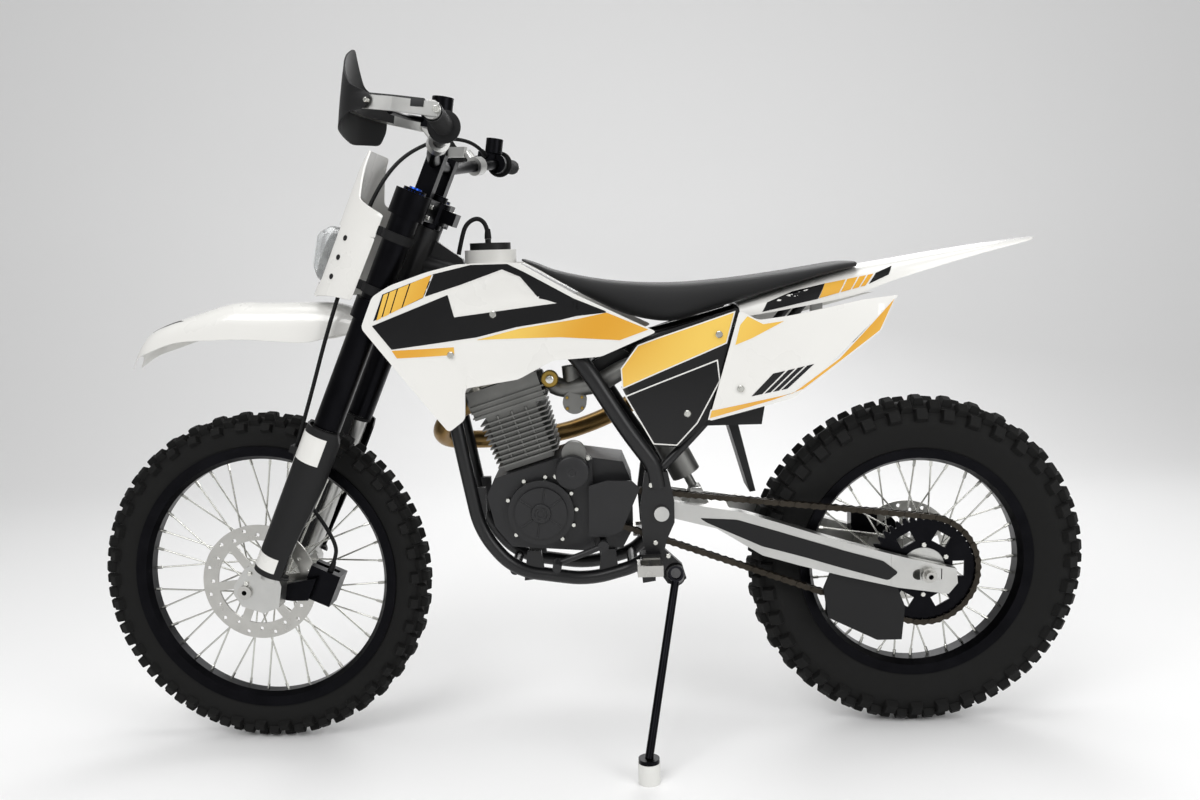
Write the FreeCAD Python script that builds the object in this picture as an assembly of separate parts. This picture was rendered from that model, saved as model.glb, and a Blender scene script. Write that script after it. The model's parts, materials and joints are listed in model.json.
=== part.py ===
"""Enduro motorcycle on its side stand: one STEP file per piece, in millimetres.

The chassis is drawn upright with its origin at the rear axle, +X forward, +Y to the rider's
left and +Z up. The fork assembly is drawn round the steering axis (X forward of the axis,
Z up along it, its zero level with the front axle) and then set into the frame. At the end the
whole machine is turned by the steering angle, leaned over on its stand and set on the ground.
"""
import FreeCAD
import Part
import math
import os
from FreeCAD import Placement, Rotation, Vector

# ---------------------------------------------------------------- driving dimensions (mm)
WHEELBASE = 1360.0
RAKE = 23.6                    # steering axis from the vertical, degrees
FORK_LEAD = 34.0               # front axle ahead of the fork tubes
CLAMP_OFFSET = 22.0            # fork tubes ahead of the steering axis
FORK_HALF_SPACING = 107.0
FORK_TUBE_RADIUS = 27.0
FORK_SLIDER_RADIUS = 23.0
FORK_TOP = 862.0               # along the steering axis, from the front axle's level
FORK_SPLIT = 372.0             # where the outer tube ends and the slider shows
HEAD_LOW = 642.0
HEAD_HIGH = 806.0
HEAD_RADIUS = 29.0
STEM_RADIUS = 15.0
LOWER_CLAMP = (600.0, 640.0)
UPPER_CLAMP = (812.0, 862.0)
STEER_ANGLE = -4.3             # parked with the bars turned a little to the right
LEAN_ANGLE = 2.8               # parked, leaning to the left

FRONT_TYRE_RADIUS = 350.0
FRONT_TYRE_WIDTH = 88.0
FRONT_RIM_RADIUS = 279.0       # over the flange of a 21 inch rim
FRONT_RIM_WIDTH = 50.0
REAR_TYRE_RADIUS = 350.0
REAR_TYRE_WIDTH = 114.0
REAR_RIM_RADIUS = 242.5        # over the flange of an 18 inch rim
REAR_RIM_WIDTH = 66.0
RIM_DEPTH = 28.0
SPOKE_RADIUS = 1.8
SPOKE_COUNT = 36
FRONT_AXLE_RADIUS = 9.0
REAR_AXLE_RADIUS = 10.0
AXLE_BORE_RADIUS = 5.0         # both axles are hollow
FRONT_DISC_RADIUS = 120.0
FRONT_DISC_Y = 50.0
REAR_DISC_RADIUS = 110.0
REAR_DISC_Y = -66.0
DISC_THICKNESS = 4.0

SWINGARM_LENGTH = 532.0        # rear axle to swingarm pivot, level
PIVOT_HEIGHT = 138.0           # swingarm pivot above the rear axle
CHAIN_PITCH = 15.875
CHAIN_Y = 70.5
CHAIN_WIDTH = 17.0
CHAIN_DEPTH = 14.0
REAR_TEETH = 44
FRONT_TEETH = 14
OUTPUT_SHAFT = (622.0, 150.0)

TUBE_RADIUS = 14.0             # cradle tubes
SPAR_RADIUS = 17.0
BACKBONE_RADIUS = 22.0
SUBFRAME_RADIUS = 10.0
PANEL_THICKNESS = 4.0
FENDER_THICKNESS = 4.0
BAR_RADIUS = 12.0
GRIP_RADIUS = 17.0
BAR_HALF_WIDTH = 405.0

GAP = 0.3                      # between pieces that sit on each other
RUNNING_GAP = 0.5              # round an axle or a stem
BRAKE_GAP = 5.0                # each side of a disc, inside its caliper


# ---------------------------------------------------------------- shapes
def vector(point):
    return Vector(*point)


def prism(outline, y_low, y_high):
    """Solid with a side outline of (x, z) points, between two widths."""
    corners = [Vector(x, y_low, z) for x, z in outline]
    face = Part.Face(Part.makePolygon(corners + corners[:1]))
    return face.extrude(Vector(0, y_high - y_low, 0))


def slab(outline, z_low, z_high):
    """Solid with a plan outline of (x, y) points, between two heights."""
    corners = [Vector(x, y, z_low) for x, y in outline]
    face = Part.Face(Part.makePolygon(corners + corners[:1]))
    return face.extrude(Vector(0, 0, z_high - z_low))


def front_prism(outline, x_low, x_high):
    """Solid with a front outline of (y, z) points, between two places along x."""
    corners = [Vector(x_low, y, z) for y, z in outline]
    face = Part.Face(Part.makePolygon(corners + corners[:1]))
    return face.extrude(Vector(x_high - x_low, 0, 0))


def box(x, y, z):
    """Solid box from three (low, high) pairs."""
    return Part.makeBox(x[1] - x[0], y[1] - y[0], z[1] - z[0], Vector(x[0], y[0], z[0]))


def rod(start, end, radius):
    """Round bar between two points."""
    start, end = vector(start), vector(end)
    return Part.makeCylinder(radius, (end - start).Length, start, end - start)


def crosswise(x, z, radius, y_low, y_high):
    """Round bar along y."""
    return rod((x, y_low, z), (x, y_high, z), radius)


def ring(x, z, outer, inner, y_low, y_high):
    """Round ring about an axis along y."""
    return crosswise(x, z, outer, y_low, y_high).cut(crosswise(x, z, inner, y_low - 1, y_high + 1))


def bent_path(points, bend=None):
    """Straight runs joined by tangent arcs, each as large as its two runs allow or `bend`."""
    edges = []
    start = vector(points[0])
    for before, corner, after in zip(points, points[1:], points[2:]):
        before, corner, after = vector(before), vector(corner), vector(after)
        run_in, run_out = corner - before, after - corner
        half_turn = run_in.getAngle(run_out) / 2
        radius = 0.45 * min(run_in.Length, run_out.Length) / math.tan(half_turn)
        if bend:
            radius = min(radius, bend)
        reach = radius * math.tan(half_turn)
        run_in.normalize()
        run_out.normalize()
        inward = (run_out - run_in).normalize()
        enter, leave = corner - run_in * reach, corner + run_out * reach
        middle = corner + inward * (radius / math.cos(half_turn) - radius)
        edges.append(Part.LineSegment(start, enter).toShape())
        edges.append(Part.Arc(enter, middle, leave).toShape())
        start = leave
    edges.append(Part.LineSegment(start, vector(points[-1])).toShape())
    return Part.Wire(edges)


def pipe(points, radius, bend=None):
    """Round bar swept along straight runs and arcs."""
    path = bent_path(points, bend)
    along = vector(points[1]) - vector(points[0])
    section = Part.Wire([Part.makeCircle(radius, vector(points[0]), along)])
    return path.makePipeShell([section], True, False)


def fuse(pieces):
    pieces = list(pieces)
    whole = pieces[0]
    if len(pieces) > 1:
        whole = whole.fuse(pieces[1:])
    return whole.removeSplitter()


def cut(piece, *tools):
    return piece.cut(list(tools))


def mirrored(piece):
    """The same piece on the rider's right."""
    return piece.mirror(Vector(0, 0, 0), Vector(0, 1, 0))


def both_sides(piece):
    return Part.makeCompound([piece, mirrored(piece)])


def revolved(profile, centre_x=0.0, centre_z=0.0):
    """Ring about an axis along y, from a closed profile of (radius, y) points."""
    corners = [Vector(centre_x, y, centre_z + r) for r, y in profile]
    face = Part.Face(Part.makePolygon(corners + corners[:1]))
    return face.revolve(Vector(centre_x, 0, centre_z), Vector(0, 1, 0), 360)


def ribbon(path, thickness, low, high):
    """Upright sheet that follows a plan path of (x, y) points; its thickness lies inside."""
    outer = [Vector(x, y, low) for x, y in path]
    inner = []
    for i, point in enumerate(outer):
        before = outer[max(i - 1, 0)]
        after = outer[min(i + 1, len(outer) - 1)]
        along = (after - before).normalize()
        inner.append(point + Vector(along.y, -along.x, 0) * thickness)
    corners = outer + inner[::-1]
    face = Part.Face(Part.makePolygon(corners + corners[:1]))
    return face.extrude(Vector(0, 0, high - low))


def hollowed(outline, inner_outline, plan, inner_plan, low, high):
    """Shell open below: a side outline and a plan, less the smaller ones inside them."""
    outside = prism(outline, -300, 300).common(slab(plan, low, high))
    inside = prism(inner_outline, -300, 300).common(slab(inner_plan, low, high))
    return outside.cut(inside)


def symmetric(half_plan):
    """A whole plan outline from its left half, listed from the back to the front."""
    return half_plan + [(x, -y) for x, y in reversed(half_plan)]


# ---------------------------------------------------------------- steering geometry
RAKE_RAD = math.radians(RAKE)
AXIS_UP = Vector(-math.sin(RAKE_RAD), 0, math.cos(RAKE_RAD))
AXIS_AHEAD = Vector(math.cos(RAKE_RAD), 0, math.sin(RAKE_RAD))
AXLE_AHEAD = FORK_LEAD + CLAMP_OFFSET
AXIS_FOOT = Vector(WHEELBASE, 0, 0) - AXIS_AHEAD * AXLE_AHEAD
FORK_PLACE = Placement(AXIS_FOOT, Rotation(Vector(0, 1, 0), -RAKE))
STEER_TURN = Placement(Vector(), Rotation(Vector(0, 0, 1), STEER_ANGLE))


def head_point(along, y=0.0, ahead=0.0):
    """A chassis point given in the steering axis's own measures."""
    point = AXIS_FOOT + AXIS_UP * along + AXIS_AHEAD * ahead
    return (point.x, y, point.z)


def head_bar(low, high, radius):
    return rod(head_point(low), head_point(high), radius)


# ---------------------------------------------------------------- frame
PIVOT = (SWINGARM_LENGTH, PIVOT_HEIGHT)
PLATE_Y = (82.0, 97.0)
SPAR_Y = 95.0
CRADLE_Y = 57.0

BACKBONE = [head_point(735), (930.0, 0.0, 622.0), (765.0, 0.0, 545.0)]
SPAR = [(790.0, 6.0, 552.0), (735.0, 66.0, 505.0), (674.0, 93.0, 434.0),
        (597.0, SPAR_Y, 308.0), (545.0, SPAR_Y - 5, 235.0), (538.0, SPAR_Y - 6, 190.0)]
CRADLE = [head_point(704, 14.0), head_point(655, 27.0, -74.0), (939.0, 55.0, 310.0),
          (900.0, CRADLE_Y, 98.0), (833.0, CRADLE_Y, 15.0), (682.0, CRADLE_Y, -8.0),
          (590.0, CRADLE_Y, 16.0), (552.0, 74.0, 46.0), (545.0, 88.0, 62.0)]
BRAKE_PIVOT = (560.0, 10.0)
PIVOT_PLATE = [(564, 222), (574, 150), (570, 78), (556, 34), (534, 34), (522, 83), (506, 118),
               (506, 162), (518, 222)]
GUSSET = [(985, 700), (918, 652), (905, 606), (1012, 650)]
SHOCK_TOP = (600.0, 440.0)
SHOCK_FOOT = (455.0, 160.0)
STAND_PIVOT = Vector(504.0, 98.0, 8.0)
STAND_DOWN = Vector(0.191, 0.472, -0.860)
STAND_UP = Vector(-0.973, 0.205, -0.103)
STAND_AXIS = STAND_DOWN.cross(STAND_UP).normalize()
ENGINE_BASE_Z = 56.0


def spar_tool(grow):
    return fuse([pipe(SPAR, SPAR_RADIUS + grow), mirrored(pipe(SPAR, SPAR_RADIUS + grow))])


def stand_lug():
    """Bracket that hangs below the pivot plate and carries the stand's bolt."""
    plate = prism([(560, 60), (530, 66), (492, 30), (484, 2), (500, -14), (522, -8), (548, 30)],
                  PLATE_Y[0], PLATE_Y[1])
    boss = Part.makeCylinder(15, 22, STAND_PIVOT - STAND_AXIS * 22, STAND_AXIS)
    bolt = Part.makeCylinder(6, 32, STAND_PIVOT - STAND_AXIS * 12, STAND_AXIS)
    head = Part.makeCylinder(10, 6, STAND_PIVOT + STAND_AXIS * 18.6, STAND_AXIS)
    return [plate, boss, bolt, head]


def peg_bracket():
    return prism([(575, 58), (536, 58), (534, 30), (570, 26)], PLATE_Y[0], 113.0)


def main_frame():
    sides = [pipe(SPAR, SPAR_RADIUS), pipe(CRADLE, TUBE_RADIUS), peg_bracket(),
             prism(PIVOT_PLATE, *PLATE_Y), prism([(576, 44), (546, 44), (546, -2), (572, -6)], *PLATE_Y)]
    middle = [
        head_bar(HEAD_LOW, HEAD_HIGH, HEAD_RADIUS),
        pipe(BACKBONE, BACKBONE_RADIUS),
        prism(GUSSET, -12, 12),
        crosswise(674, 434, 13, -93, 93),
        crosswise(590, 16, 11, -CRADLE_Y, CRADLE_Y),
        crosswise(833, 15, 10, -CRADLE_Y, CRADLE_Y),
    ]
    mounts = []
    for side in (-1, 1):
        outline = [(680, 426), (612, 470), (588, 455), (590, 424), (612, 424), (660, 414)]
        middle.append(prism(outline, side * 24 - 4, side * 24 + 4))
    for x in (640, 792):
        mounts.append(prism([(x - 22, -2), (x + 22, -6), (x + 14, ENGINE_BASE_Z - GAP),
                             (x - 14, ENGINE_BASE_Z - GAP)], CRADLE_Y - 8, CRADLE_Y + 4))
    mounts.append(prism([(897, 90), (917, 190), (886 + GAP, 190), (886 + GAP, 140)],
                        CRADLE_Y - 12, CRADLE_Y))
    lug = stand_lug()
    whole = fuse(sides + [mirrored(s) for s in sides] + middle + mounts
                 + [mirrored(m) for m in mounts] + lug[:2])
    eye_room = Part.makeCylinder(24, 40, STAND_PIVOT, STAND_AXIS)
    bore = head_bar(HEAD_LOW - 60, HEAD_HIGH + 60, STEM_RADIUS + RUNNING_GAP)
    end_trim = [head_bar(HEAD_HIGH, HEAD_HIGH + 80, 70), head_bar(HEAD_LOW - 45, HEAD_LOW, 60)]
    pivot_hole = crosswise(*PIVOT, 9 + GAP, -120, 120)
    shock_bolt = crosswise(*SHOCK_TOP, 6, -30, 30)
    return fuse([cut(whole, bore, *end_trim, pivot_hole, eye_room), shock_bolt] + lug[2:])


def subframe_rail(grow):
    return pipe([(668.0, 62.0, 462.0), (560.0, 64.0, 484.0), (440.0, 62.0, 512.0),
                 (296.0, 58.0, 552.0), (120.0, 48.0, 600.0)], SUBFRAME_RADIUS + grow)


def subframe_strut(grow):
    return pipe([(530.0, 82.0, 226.0), (455.0, 76.0, 300.0), (330.0, 66.0, 440.0),
                 (235.0, 56.0, 556.0)], SUBFRAME_RADIUS - 1 + grow)


def subframe():
    rail = subframe_rail(0.0)
    strut = subframe_strut(0.0)
    ties = [crosswise(122, 605.5, 8, -48, 48), crosswise(296, 552, 7, -58, 58)]
    whole = fuse([rail, strut, mirrored(rail), mirrored(strut)] + ties)
    clear = [spar_tool(GAP), crosswise(674, 434, 13 + GAP, -93, 93)]
    plate = prism(PIVOT_PLATE, PLATE_Y[0] - GAP, PLATE_Y[1] + GAP)
    return cut(whole, *clear, plate, mirrored(plate))


# ---------------------------------------------------------------- engine
AIRBOX_FRONT = 549.0
AIRBOX_FLOOR = 312.0
CYLINDER_TILT = 17.0
CYLINDER_FOOT = Vector(795, 0, 236)
CYLINDER_PLACE = Placement(CYLINDER_FOOT, Rotation(Vector(0, 1, 0), CYLINDER_TILT))
CRANKCASE_HALF = 72.0
GEARBOX_LEFT = 52.0
CRANKCASE = [(668, ENGINE_BASE_Z), (835, ENGINE_BASE_Z + 14), (868, 112), (882, 176),
             (866, 212), (724, 254), (668, 246)]
GEARBOX = [(668, ENGINE_BASE_Z), (668, 246), (606, 236), (588, 190), (588, 96), (610, ENGINE_BASE_Z)]
LEFT_COVER = (773.0, 143.0, 66.0)
STARTER = (708.0, 226.0, 34.0)


def placed(piece, placement):
    copy = piece.copy()
    copy.Placement = placement.multiply(copy.Placement)
    return copy


def crankcase():
    block = fuse([prism(CRANKCASE, -CRANKCASE_HALF, CRANKCASE_HALF),
                  prism(GEARBOX, -CRANKCASE_HALF, GEARBOX_LEFT)])
    above = placed(box((-120, 120), (-90, 90), (0, 60)), CYLINDER_PLACE)
    return cut(block, above)


def cylinder():
    """Finned barrel, its fins square to a cylinder that leans forward."""
    height, fins, fin_height = 118.0, 10, 3.0
    core = box((-52, 52), (-50, 50), (GAP, height))
    pitch = (height - 16.0) / fins
    plates = [box((-66 - i * 0.6, 62 + i * 0.6), (-62, 62),
                  (12 + i * pitch, 12 + fin_height + i * pitch)) for i in range(fins)]
    return placed(fuse([core] + plates), CYLINDER_PLACE)


def cylinder_head():
    low, high = 118.0 + GAP, 176.0
    body = box((-74, 74), (-60, 60), (low, high))
    fins = [box((-80, 76), (-66, 66), (low + 4 + i * 11, low + 7 + i * 11)) for i in range(3)]
    cover = prism([(-62, high), (60, high), (48, 200), (-46, 204)], -46, 46)
    port = rod((70, 0, 150), (84, 0, 150), 24)
    inlet = rod((-84, 20, 152), (-70, 20, 152), 21)
    return placed(fuse([body, cover, port, inlet] + fins), CYLINDER_PLACE)


def engine_covers():
    x, z, r = LEFT_COVER
    face = CRANKCASE_HALF + GAP
    left = fuse([crosswise(x, z, r, face, 90), crosswise(x, z, r - 14, 90, 96)])
    left = cut(left, crosswise(STARTER[0], STARTER[1], STARTER[2] + 1, 60, 120))
    starter = crosswise(STARTER[0], STARTER[1], STARTER[2], face, 102)
    right = fuse([crosswise(742, 140, 74, -94, -face), crosswise(830, 150, 40, -88, -face)])
    return Part.makeCompound([left, starter, right, sprocket_guard()])


def sprocket_guard():
    plate = prism([(678, 92), (676, 196), (640, 206), (590, 204), (574, 188), (612, 102), (640, 90)],
                  86, 92)
    feet = [crosswise(670, 100, 7, CRANKCASE_HALF + GAP, 86),
            crosswise(670, 186, 7, CRANKCASE_HALF + GAP, 86)]
    return fuse([plate] + feet)


def carburettor():
    """Carburettor on the inlet stub with a rubber boot back to the air box."""
    stub = CYLINDER_PLACE.multVec(Vector(-80, 20, 152))
    mouth = (545.0, 62.0, 440.0)
    head_room = placed(box((-84 - GAP, 200), (-90, 90), (100, 220)), CYLINDER_PLACE)
    box_room = box((480, AIRBOX_FRONT + GAP), (0, 120), (380, 500))
    throat = pipe([(stub.x, stub.y, stub.z), (724.0, 28.0, 384.0), (650.0, 52.0, 396.0),
                   (600.0, 62.0, 428.0), mouth], 19)
    bowl = crosswise(700, 360, 24, 4, 52)
    top = rod((702, 28, 380), (706, 28, 432), 19)
    body = fuse([throat, bowl, top])
    return cut(body, crosswise(674, 434, 13 + 1, -93, 93), spar_tool(1.0), head_room, box_room)


HEADER = [(915.0, 0.0, 353.0), (958.0, -4.0, 336.0), (988.0, -38.0, 292.0),
          (978.0, -88.0, 266.0), (880.0, -100.0, 262.0), (740.0, -108.0, 268.0),
          (630.0, -140.0, 300.0), (520.0, -154.0, 362.0), (436.0, -160.0, 404.0)]
MUFFLER = [(434.0, -160.0, 405.0), (70.0, -152.0, 496.0)]
HEADER_RADIUS = 19.0
MUFFLER_RADIUS = 42.0


def header_pipe(grow):
    port = CYLINDER_PLACE.multVec(Vector(80, 0, 150))
    return pipe([tuple(port)] + HEADER[1:], HEADER_RADIUS + grow)


def exhaust_header():
    head_room = placed(box((-200, 84 + GAP), (-90, 90), (100, 220)), CYLINDER_PLACE)
    return cut(header_pipe(0.0), head_room)


def muffler():
    """Oval can with a tapered nose, a tail pipe and a strap to the subframe."""
    start, end = vector(MUFFLER[0]), vector(MUFFLER[1])
    along = (end - start).normalize()
    nose = Part.makeCone(HEADER_RADIUS + 3, MUFFLER_RADIUS, 60, start, along)
    can = Part.makeCylinder(MUFFLER_RADIUS, (end - start).Length - 60, start + along * 60, along)
    tail = Part.makeCylinder(18, 26, end - along * 2, along)
    strap = prism([(204, 478), (178, 484), (178, 580), (200, 580)], -76, -62)
    arm = prism([(204, 478), (178, 484), (178, 496), (204, 490)], -130, -62)
    return cut(fuse([nose, can, tail, strap, arm]), mirrored(subframe_rail(GAP)), header_pipe(GAP))


# ---------------------------------------------------------------- tank, seat and panels
TANK_SIDE = [(930, 450), (940, 500), (940, 562), (926, 606), (890, 636), (800, 640), (742, 606),
             (690, 577), (690, 545), (735, 545), (800, 585), (815, 585), (815, 452)]
TANK_TUNNEL = [(1000, 662), (940, 652), (885, 634), (740, 572), (740, 430), (1000, 430)]
SHROUD_SIDE = [(1096, 528), (1072, 586), (1038, 606), (969, 629), (914, 642), (797, 642),
               (693, 580), (566, 517), (535, 502), (591, 479), (644, 457), (737, 452),
               (806, 417), (908, 404), (911, 343), (943, 319)]
SHROUD_PLAN = [(530, 113), (640, 115), (800, 117), (900, 132), (980, 148), (1100, 160)]
SIDE_PANEL = [(578, 476), (532, 498), (376, 545), (441, 322), (496, 272), (545, 275), (608, 425)]
SIDE_PANEL_PLAN = [(360, 116), (440, 112), (540, 102), (620, 100)]
NUMBER_PANEL = [(61, 560), (136, 553), (278, 527), (340, 520), (376, 540), (437, 324), (270, 367)]
NUMBER_PANEL_RIGHT = [(61, 560), (136, 553), (278, 527), (340, 520), (376, 540), (400, 470),
                      (270, 505), (150, 536)]
NUMBER_PANEL_PLAN = [(40, 88), (120, 104), (270, 122), (380, 122), (445, 118)]
SEAT_SIDE = [(803, 651), (737, 625), (660, 607), (586, 597), (500, 593), (423, 596), (277, 611),
             (136, 630), (140, 615), (266, 581.4), (296, 572.4), (529, 507), (566, 523), (693, 586),
             (797, 648)]
SEAT_PLAN = [(130, 84), (280, 94), (480, 92), (640, 72), (812, 44)]
NECK = (862.0, 52.0)
NECK_TOP = 668.0


def fuel_tank():
    """White tank that straddles the backbone, with a round filler neck."""
    side = prism(TANK_SIDE, -120, 120)
    plan = slab(symmetric([(630, 74), (760, 96), (880, 98), (975, 90)]), 430, 700)
    front = front_prism([(-98, 430), (98, 430), (98, 560), (74, 625), (56, 645), (-56, 645),
                         (-74, 625), (-98, 560)], 600, 1000)
    body = side.common(plan).common(front)
    neck = rod((NECK[0], 0, 620), (NECK[0], 0, NECK_TOP), NECK[1])
    tunnel = prism(TANK_TUNNEL, -BACKBONE_RADIUS - 4, BACKBONE_RADIUS + 4)
    saddle = box((852, 868), (-BACKBONE_RADIUS - 5, BACKBONE_RADIUS + 5), (617.6, 626))
    return fuse([cut(fuse([body, neck]), tunnel), saddle])


def fuel_cap():
    """Cap on the neck, with a spout for the breather hose."""
    cap = rod((NECK[0], 0, NECK_TOP + GAP), (NECK[0], 0, NECK_TOP + 14), 41)
    spout = rod((NECK[0] + 4, 0, NECK_TOP + 14), (NECK[0] + 4, 0, NECK_TOP + 22), 6)
    return fuse([cap, spout])


BREATHER = [(866.0, 0.0, 690.0 + GAP), (866.0, 0.0, 716.0), (884.0, 2.0, 734.0),
            (908.0, 5.0, 722.0), (918.0, 7.0, 694.0), (926.0, 4.0, 660.5)]
BREATHER_RADIUS = 4.5


def tank_shrouds():
    sheet = ribbon(SHROUD_PLAN, PANEL_THICKNESS, 300, 700)
    bosses = [crosswise(850, 550, 9, 98 + GAP, 123), crosswise(840, 490, 9, 98 + GAP, 121)]
    return both_sides(fuse([prism(SHROUD_SIDE, 80, 180).common(sheet)] + bosses))


def side_panels():
    sheet = ribbon(SIDE_PANEL_PLAN, PANEL_THICKNESS, 250, 600)
    left = prism(SIDE_PANEL, 80, 180).common(sheet)
    stands = [(415, 485), (470, 345)]
    left_bosses = [crosswise(x, z, 7, AIRBOX_LEFT + GAP, 110) for x, z in stands]
    right_bosses = [crosswise(x, z, 7, -110, AIRBOX_RIGHT - GAP) for x, z in stands]
    return Part.makeCompound([fuse([left] + left_bosses), fuse([mirrored(left)] + right_bosses)])


def number_panels():
    sheet = ribbon(NUMBER_PANEL_PLAN, PANEL_THICKNESS, 250, 600)
    left = prism(NUMBER_PANEL, 60, 180).common(sheet)
    right = mirrored(prism(NUMBER_PANEL_RIGHT, 60, 180).common(sheet))
    left_boss = crosswise(340, 470, 7, AIRBOX_LEFT + GAP, 120)
    right_boss = crosswise(345, 507, 7, -120, AIRBOX_RIGHT - GAP)
    return Part.makeCompound([fuse([left, left_boss]), fuse([right, right_boss])])


def seat():
    side = prism(SEAT_SIDE, -120, 120)
    plan = slab(symmetric(SEAT_PLAN), 480, 700)
    return side.common(plan)


def rear_fender():
    """Tail over the wheel: a shell open below, under the end of the seat."""
    top = [(-224, 665), (-90, 650), (130, 617), (262, 582), (292, 573), (372, 549)]
    under = [(345, 524), (150, 558), (65, 587), (-90, 630), (-224, 661)]
    inner = [(-214, 650), (-90, 646), (130, 613), (262, 578), (292, 569), (376, 544),
             (400, 480), (-230, 480)]
    plan = symmetric([(-226, 22), (-215, 42), (-90, 66), (70, 80), (270, 92), (380, 96)])
    inner_plan = symmetric([(-222, 16), (-212, 38), (-90, 62), (70, 76), (270, 88), (390, 92)])
    return hollowed(top + under, inner, plan, inner_plan, 400, 700)


AIRBOX_LEFT = 92.0
AIRBOX_RIGHT = -48.0


def airbox():
    body = prism([(330, AIRBOX_FLOOR), (484, AIRBOX_FLOOR), (502, 330), (AIRBOX_FRONT, 420),
                  (AIRBOX_FRONT, 476), (470, 484), (345, 516), (320, 500), (320, 372)],
                 AIRBOX_RIGHT, AIRBOX_LEFT)
    rails = subframe_rail(GAP)
    strut = subframe_strut(GAP)
    return cut(body, rails, mirrored(rails), strut, mirrored(strut))


# ---------------------------------------------------------------- swingarm and drive
ARM_SIDE = [(548, 162), (507, 156), (369, 133), (213, 84), (48, 36), (-57, 10), (-60, -20),
            (-42, -42), (61, -26), (259, 23), (329, 43), (421, 100), (507, 122), (548, 114)]
ARM_PLAN = [(-70, 84), (160, 84), (290, 63), (548, 60), (548, 80), (500, 80), (300, 92), (170, 106),
            (-70, 106)]


ARM_END = 74.0                  # where the cast axle end meets the arm


def swingarm():
    """Two arms with cast axle ends, their chain adjusters, and the pivot bolt."""
    arm = prism(ARM_SIDE, 40, 130).common(slab(ARM_PLAN, -100, 300))
    slot = fuse([box((-28, 20), (60, 130), (-11, 11)), crosswise(20, 0, 11, 60, 130)])
    arm = cut(arm, slot)
    adjuster = cut(box((-26, 16), (84, 106), (-11 + GAP, 11 - GAP)), crosswise(0, 0, 10 + GAP, 60, 130))
    link = prism([(392, 104), (392, 134), (470, 148), (480, 122), (440, 106)], -66, 66)
    tube = ring(*PIVOT, 24, 9 + GAP, -(PLATE_Y[0] - GAP), PLATE_Y[0] - GAP)
    shock_ears = [prism([(430, 140), (474, 140), (466, 172), (446, 172)], a, b)
                  for a, b in ((-30, -20), (20, 30))]
    bolt = crosswise(*SHOCK_FOOT, 6, -30, 30)
    end = cut(arm, box((ARM_END, 600), (0, 200), (-200, 300)))
    arm = cut(arm, box((-200, ARM_END + GAP), (0, 200), (-200, 300)))
    body = cut(fuse([arm, mirrored(arm), link]), crosswise(*PIVOT, 20, -100, 100))
    whole = fuse([body, tube] + shock_ears + [bolt])
    return Part.makeCompound([whole, end, mirrored(end), adjuster, mirrored(adjuster), pivot_bolt()])


def pivot_bolt():
    shaft = crosswise(*PIVOT, 9, -104, 104)
    heads = [crosswise(*PIVOT, 15, PLATE_Y[1] + GAP, 106), crosswise(*PIVOT, 15, -106, -PLATE_Y[1] - GAP)]
    return fuse([shaft] + heads)


def rear_axle():
    """Hollow axle with its collars, nut and head."""
    shaft = crosswise(0, 0, REAR_AXLE_RADIUS, -122, 126)
    collars = [crosswise(0, 0, 15, 106 + GAP, 117), crosswise(0, 0, 15, -116, -106 - GAP),
               crosswise(0, 0, 16, 76, 84 - GAP)]
    return cut(fuse([shaft] + collars), crosswise(0, 0, AXLE_BORE_RADIUS, -130, 130))


def loop_face(x1, z1, r1, x2, z2, r2, y):
    """Flat face inside a belt round two circles, at one width."""
    distance = math.hypot(x2 - x1, z2 - z1)
    lean = math.atan2(z2 - z1, x2 - x1)
    spread = math.acos((r1 - r2) / distance)
    touch = []
    for side in (1, -1):
        angle = lean + side * spread
        out = (math.cos(angle), math.sin(angle))
        touch.append([Vector(x1 + r1 * out[0], y, z1 + r1 * out[1]),
                      Vector(x2 + r2 * out[0], y, z2 + r2 * out[1])])
    back = Vector(x1 - r1 * math.cos(lean), y, z1 - r1 * math.sin(lean))
    front = Vector(x2 + r2 * math.cos(lean), y, z2 + r2 * math.sin(lean))
    edges = [Part.LineSegment(touch[0][0], touch[0][1]).toShape(),
             Part.Arc(touch[0][1], front, touch[1][1]).toShape(),
             Part.LineSegment(touch[1][1], touch[1][0]).toShape(),
             Part.Arc(touch[1][0], back, touch[0][0]).toShape()]
    return Part.Face(Part.Wire(edges))


def pitch_radius(teeth):
    return CHAIN_PITCH / (2 * math.sin(math.pi / teeth))


REAR_PITCH_RADIUS = pitch_radius(REAR_TEETH)
FRONT_PITCH_RADIUS = pitch_radius(FRONT_TEETH)


def chain():
    """One closed loop round both sprockets."""
    half, low = CHAIN_DEPTH / 2, CHAIN_Y - CHAIN_WIDTH / 2
    loops = [loop_face(0, 0, REAR_PITCH_RADIUS + side * half, *OUTPUT_SHAFT,
                       FRONT_PITCH_RADIUS + side * half, low) for side in (1, -1)]
    band = Vector(0, CHAIN_WIDTH, 0)
    return loops[0].extrude(band).cut(loops[1].extrude(band))


def front_sprocket():
    disc = crosswise(*OUTPUT_SHAFT, FRONT_PITCH_RADIUS - CHAIN_DEPTH / 2 - GAP, CHAIN_Y - 3, CHAIN_Y + 3)
    shaft = crosswise(*OUTPUT_SHAFT, 12, GEARBOX_LEFT + GAP, CHAIN_Y + 8)
    return fuse([disc, shaft])


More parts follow.
